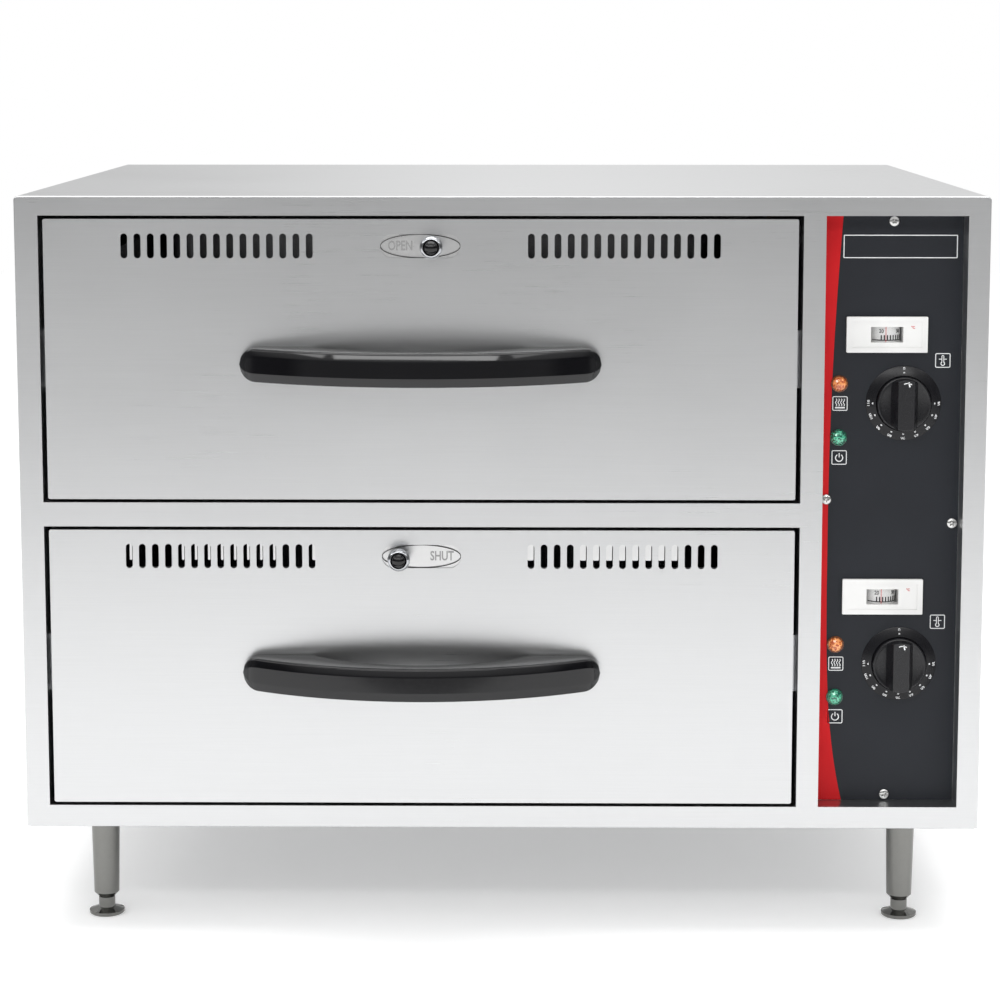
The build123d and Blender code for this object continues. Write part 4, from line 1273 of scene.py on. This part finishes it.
@dataclass
class Lamps(Assembly):
    """Pilot lamps of one colour: a tinted rim, a domed lens and the cut facets in it."""

    node: str
    slot: str
    rise: float
    stem_depth: float = 22.0
    facets: tuple[tuple[int, float, float], ...] = ((12, 4.2, 0.85), (6, 2.0, 0.75))
    turning: TurnRepeater = field(default_factory=TurnRepeater)

    def build(self) -> None:
        """Builds the lamps of both drawers as one piece."""
        parts = []
        for bay in BAYS:
            parts += self.build_lamp(bay.dial_z + self.rise)
        self.hand_over(self.joined(parts, f"{self.node}_cut"), "cabinet", self.slot, self.node)

    def build_lamp(self, z: float) -> list[Piece]:
        """Builds one lamp.

        Args:
            z: its height.

        Returns:
            Its rim, its lens and the facets.
        """
        lens = self.finishes[self.slot]
        tinted = self.finishes[self.slot.replace("lens", "rim")]
        rim = [(0.0, self.stem_depth), (4.9, self.stem_depth), (4.9, 0.0), (6.7, 0.0), (6.7, -0.8)]
        rim += [(6.4, -1.3), (5.9, -1.4), (5.7, -0.7), (0.0, -0.7)]
        dome = [(0.0, -0.5), (5.65, -0.6), (5.5, -1.8), (4.4, -3.4), (2.5, -4.3), (0.9, -4.6), (0.0, -4.65)]
        parts = [Shape().spin(self.on_overlay(rim), LAMP_X, z).object("rim", tinted, 30.0)]
        parts.append(Shape().spin(self.on_overlay(dome), LAMP_X, z, 12).object("lens", lens))
        for count, place, size in self.facets:
            near = place * place * 0.085 - 4.75
            facet = [(0.0, near + 1.0), (size, near + 0.8), (size * 0.55, near), (0.0, near - 0.05)]
            bead = Shape().spin(self.on_overlay(facet), 0.0, place, 4).object("facet", lens)
            step = math.tau / count
            parts.append(self.turning.around(bead, (LAMP_X, 0.0, z), Axis.DEPTH, 0.13, step, count))
        return parts

    def on_overlay(self, profile: Path) -> Path:
        """Moves a profile whose depths start at the overlay's face to that face."""
        return [(radius, OVERLAY_Y + depth) for radius, depth in profile]


@dataclass
class Thermometers(Assembly):
    """Print of the thermometers: the drum's ticks, figures and baseline, the index and the unit mark."""

    drum_radius: float = 12.0
    drum_depth: float = 13.0
    figures: tuple[tuple[float, str], ...] = ((-19.5, "20"), (48.6, "50"), (116.7, "80"))
    figure_height: float = 3.1
    figure_rise: float = 2.3
    figure_narrow: float = 0.85
    ink_front: float = 0.08
    ink_back: float = 0.1
    first_tick: float = -19.5
    tick_step: float = 11.35
    ticks: int = 15
    tick_height: float = 3.7
    tick_half: float = 0.52
    tick_rise: float = -4.4
    base_rise: float = -5.1
    base_height: float = 0.8
    base_start: float = -60.0
    base_turn: float = 200.0
    turning: TurnRepeater = field(default_factory=TurnRepeater)

    def build(self) -> None:
        """Builds the print of both thermometers."""
        for bay in BAYS:
            parts = [self.build_ticks(bay.thermometer_z), self.build_figures(bay.thermometer_z)]
            self.hand_over(self.joined(parts, f"{bay.name}_scale_print"), f"{bay.name}_scale", "scale_drum")
        self.build_index()

    def build_ticks(self, z: float) -> Piece:
        """Ticks round a drum.

        Args:
            z: height of the drum's middle.

        Returns:
            The ticks as one object.
        """
        half, front = self.tick_half, -self.drum_radius
        corners = [(-half, 0.0), (half, 0.0), (half, self.tick_height), (-half, self.tick_height)]
        tick = Shape().prism(corners, front - self.ink_front, front + self.ink_back)
        mark = tick.object("tick", self.finishes["black_ink"])
        centre = (THERMOMETER_X, OVERLAY_Y + self.drum_depth, z + self.tick_rise)
        first, step = math.radians(self.first_tick), math.radians(self.tick_step)
        return self.turning.around(mark, centre, Axis.UPRIGHT, first, step, self.ticks)

    def build_figures(self, z: float) -> Piece:
        """Figures and baseline, printed flat and wrapped round a drum.

        Args:
            z: height of the drum's middle.

        Returns:
            The figures and the baseline as one object.
        """
        axis_y = OVERLAY_Y + self.drum_depth
        front = axis_y - self.drum_radius
        per_degree = math.radians(self.drum_radius)
        flat = Shape()
        for degrees, figure in self.figures:
            middle = (degrees * per_degree, front, z + self.figure_rise)
            flat.words(figure, self.figure_height, middle, narrow=self.figure_narrow)
        steps = 44
        low = z + self.base_rise
        high = low + self.base_height
        ends = [(self.base_start + self.base_turn * i / steps) * per_degree for i in range(steps + 1)]
        near, far = front - self.ink_front, front + self.ink_back
        for start, end in zip(ends, ends[1:]):
            flat.prism([(start, low), (end, low), (end, high), (start, high)], near, far)
        flat.wrapped(THERMOMETER_X, axis_y, self.drum_radius)
        return flat.object("figures", self.finishes["black_ink"])

    def build_index(self) -> None:
        """Red index line behind each window and the small red unit mark beside it."""
        shape = Shape()
        for bay in BAYS:
            x, z = THERMOMETER_X, bay.thermometer_z
            corners = [(x - 1.0, z - 6.0), (x - 0.6, z - 6.0), (x - 0.6, z + 6.0), (x - 1.0, z + 6.0)]
            shape.prism(corners, OVERLAY_Y - 1.05, OVERLAY_Y - 0.85)
            shape.words("°C", 2.0, (x + 20.0, OVERLAY_Y - 2.25, z + 5.6))
        red = shape.object("thermometer_red_print", self.finishes["red_ink"])
        self.hand_over(red, "cabinet", "thermometer_shell")


# ---------------------------------------------------------------- studio
class Sky(NodeBuilder):
    """Greys of the surround, each from one part of the direction that light comes from."""

    def ramp(self, source: Socket, stops: Path) -> Socket:
        """Maps one part of a direction to a grey.

        Args:
            source: a number from -1 to 1.
            stops: (number, grey) in rising order.

        Returns:
            The grey.
        """
        share = self.node("ShaderNodeMapRange", {"Value": source, "From Min": -1.0}).outputs["Result"]
        ramp = self.node("ShaderNodeValToRGB", {"Fac": share})
        ramp.color_ramp.interpolation = "EASE"
        while len(ramp.color_ramp.elements) < len(stops):
            ramp.color_ramp.elements.new(0.5)
        for element, (place, grey) in zip(ramp.color_ramp.elements, stops):
            element.position = (place + 1.0) / 2.0
            element.color = (grey, grey, grey, 1.0)
        return ramp.outputs["Color"]

    def mix(self, factor: Socket | float, first: Socket | Light, second: Socket, way: str = "MIX") -> Socket:
        """Mixes two greys.

        Args:
            factor: share of the second.
            first: the first grey.
            second: the second grey.
            way: Blender's name of the blend.

        Returns:
            The mixed grey.
        """
        inputs = {0: factor, 6: first, 7: second}
        return self.node("ShaderNodeMix", inputs, data_type="RGBA", blend_type=way).outputs[2]


@dataclass
class Studio:
    """Plain pale floor, soft lights and the camera at the photograph's angle."""

    floor_front: float = -2.4
    floor_back: float = 6.0
    floor_half: float = 4.5
    floor_glow: float = 0.22
    panel_z: float = 1.85
    panel_depth: float = 0.3
    lens: float = 94.7
    lens_shift: float = -0.12
    camera_place: Place = (0.0187, -2.2833, 0.6957)
    camera_drop: float = 7.11
    camera_turn: float = 0.0099

    def build(self) -> None:
        """Builds the studio."""
        self.build_floor()
        self.build_world()
        self.build_lights()
        self.build_camera()

    def build_floor(self) -> None:
        """Pale matt floor."""
        data = bpy.data.meshes.new("floor")
        half, near, far = self.floor_half, self.floor_front, self.floor_back
        corners = [(-half, near, 0), (half, near, 0), (half, far, 0), (-half, far, 0)]
        data.from_pydata(corners, [], [(0, 1, 2, 3)])
        pale = Shader("floor", (0.93, 0.93, 0.93), 0.0, 0.9)
        pale.value("Emission Color", WHITE)
        pale.value("Emission Strength", self.floor_glow)
        data.materials.append(pale.material)
        linked("floor", data)

    def build_world(self) -> None:
        """Surround that the camera sees as white, and that lights the steel with soft bands of grey."""
        world = bpy.data.worlds.new("studio")
        bpy.context.scene.world = world
        world.use_nodes = True
        world.node_tree.nodes.clear()
        sky = Sky(world.node_tree)
        seen = sky.node("ShaderNodeBackground", {"Color": WHITE}).outputs[0]
        lit = sky.node("ShaderNodeBackground", {"Color": self.bands(sky)}).outputs[0]
        camera_ray = sky.node("ShaderNodeLightPath", {}).outputs["Is Camera Ray"]
        surface = sky.node("ShaderNodeMixShader", {0: camera_ray, 1: lit, 2: seen}).outputs[0]
        sky.node("ShaderNodeOutputWorld", {"Surface": surface})
        bpy.context.scene.view_settings.view_transform = "Standard"

    def bands(self, sky: Sky) -> Socket:
        """Greys that the steel reflects: darker at the horizon, at both sides and low behind.

        Args:
            sky: the surround.

        Returns:
            The grey of every direction.
        """
        direction = sky.node("ShaderNodeTexCoord", {}).outputs["Generated"]
        across, deep, tall = sky.node("ShaderNodeSeparateXYZ", {0: direction}).outputs
        rising = [(-1.0, 0.9), (-0.18, 0.68), (-0.06, 0.48), (0.02, 0.26)]
        rising += [(0.2, 0.24), (0.45, 0.7), (0.75, 1.0)]
        right = [(0.68, 1.0), (0.8, 0.3), (0.9, 0.3), (0.98, 0.8)]
        left = [(-place, grey) for place, grey in reversed(right)]
        behind = [(-0.5, 0.5), (-0.16, 0.62), (0.0, 1.0), (0.16, 0.85), (0.5, 0.5)]
        low = sky.ramp(tall, [(-0.4, 0.0), (-0.25, 1.0), (0.25, 1.0), (0.4, 0.0)])
        flanks = sky.mix(low, WHITE, sky.ramp(across, left + right))
        front = sky.mix(1.0, sky.ramp(tall, rising), flanks, "MULTIPLY")
        low_rear = sky.mix(1.0, low, sky.ramp(deep, [(0.3, 0.0), (0.85, 1.0)]), "MULTIPLY")
        return sky.mix(low_rear, front, sky.ramp(across, behind))

    def area(self, name: str, place: Place, size: Flat, power: float) -> None:
        """Adds a soft panel light that faces the middle of the object.

        Args:
            name: its name.
            place: its middle, in metres.
            size: width and height in metres.
            power: watts.
        """
        light = bpy.data.lights.new(name, "AREA")
        light.shape = "RECTANGLE"
        light.size, light.size_y = size
        light.energy = power
        lamp = linked(name, light)
        lamp.location = place
        lamp.visible_camera = False
        lamp.rotation_mode = "QUATERNION"
        lamp.rotation_quaternion = (Vector((0.0, 0.0, 0.3)) - Vector(place)).to_track_quat("-Z", "Y")

    def build_lights(self) -> None:
        """One panel overhead and three in a row above the camera."""
        self.area("overhead", (0.0, 0.0, 2.6), (2.6, 2.0), 40.0)
        self.area("front", (-0.2, -2.5, self.panel_z), (2.9, self.panel_depth), 16.0)
        self.area("left", (-2.3, -1.5, self.panel_z), (1.9, self.panel_depth), 7.0)
        self.area("right", (2.0, -1.6, self.panel_z), (1.9, self.panel_depth), 4.0)

    def build_camera(self) -> None:
        """Camera fitted to the photograph's edges."""
        data = bpy.data.cameras.new("camera")
        data.sensor_width = 36.0
        data.lens = self.lens
        data.shift_y = self.lens_shift
        camera = linked("camera", data)
        camera.location = self.camera_place
        camera.rotation_euler = (math.radians(90.0 - self.camera_drop), 0.0, self.camera_turn)
        bpy.context.scene.camera = camera


def main() -> None:
    """Builds the studio, dresses the CAD nodes and builds the pieces round them."""
    logging.basicConfig(level=logging.INFO, format="%(message)s")
    finishes = Finishes()
    Studio().build()
    finishes.dress_cad(frame["nodes"])
    heat = Lamps(finishes, node="heat_lamps", slot="amber_lens", rise=15.1)
    power = Lamps(finishes, node="power_lamps", slot="green_lens", rise=-27.2)
    column = [ColumnPrint(finishes), Dials(finishes), Screws(finishes), heat, power, Knobs(finishes)]
    for assembly in [Drawers(finishes), *column, Thermometers(finishes)]:
        assembly.build()
    bpy.context.view_layer.update()


if __name__ == "__main__":
    main()
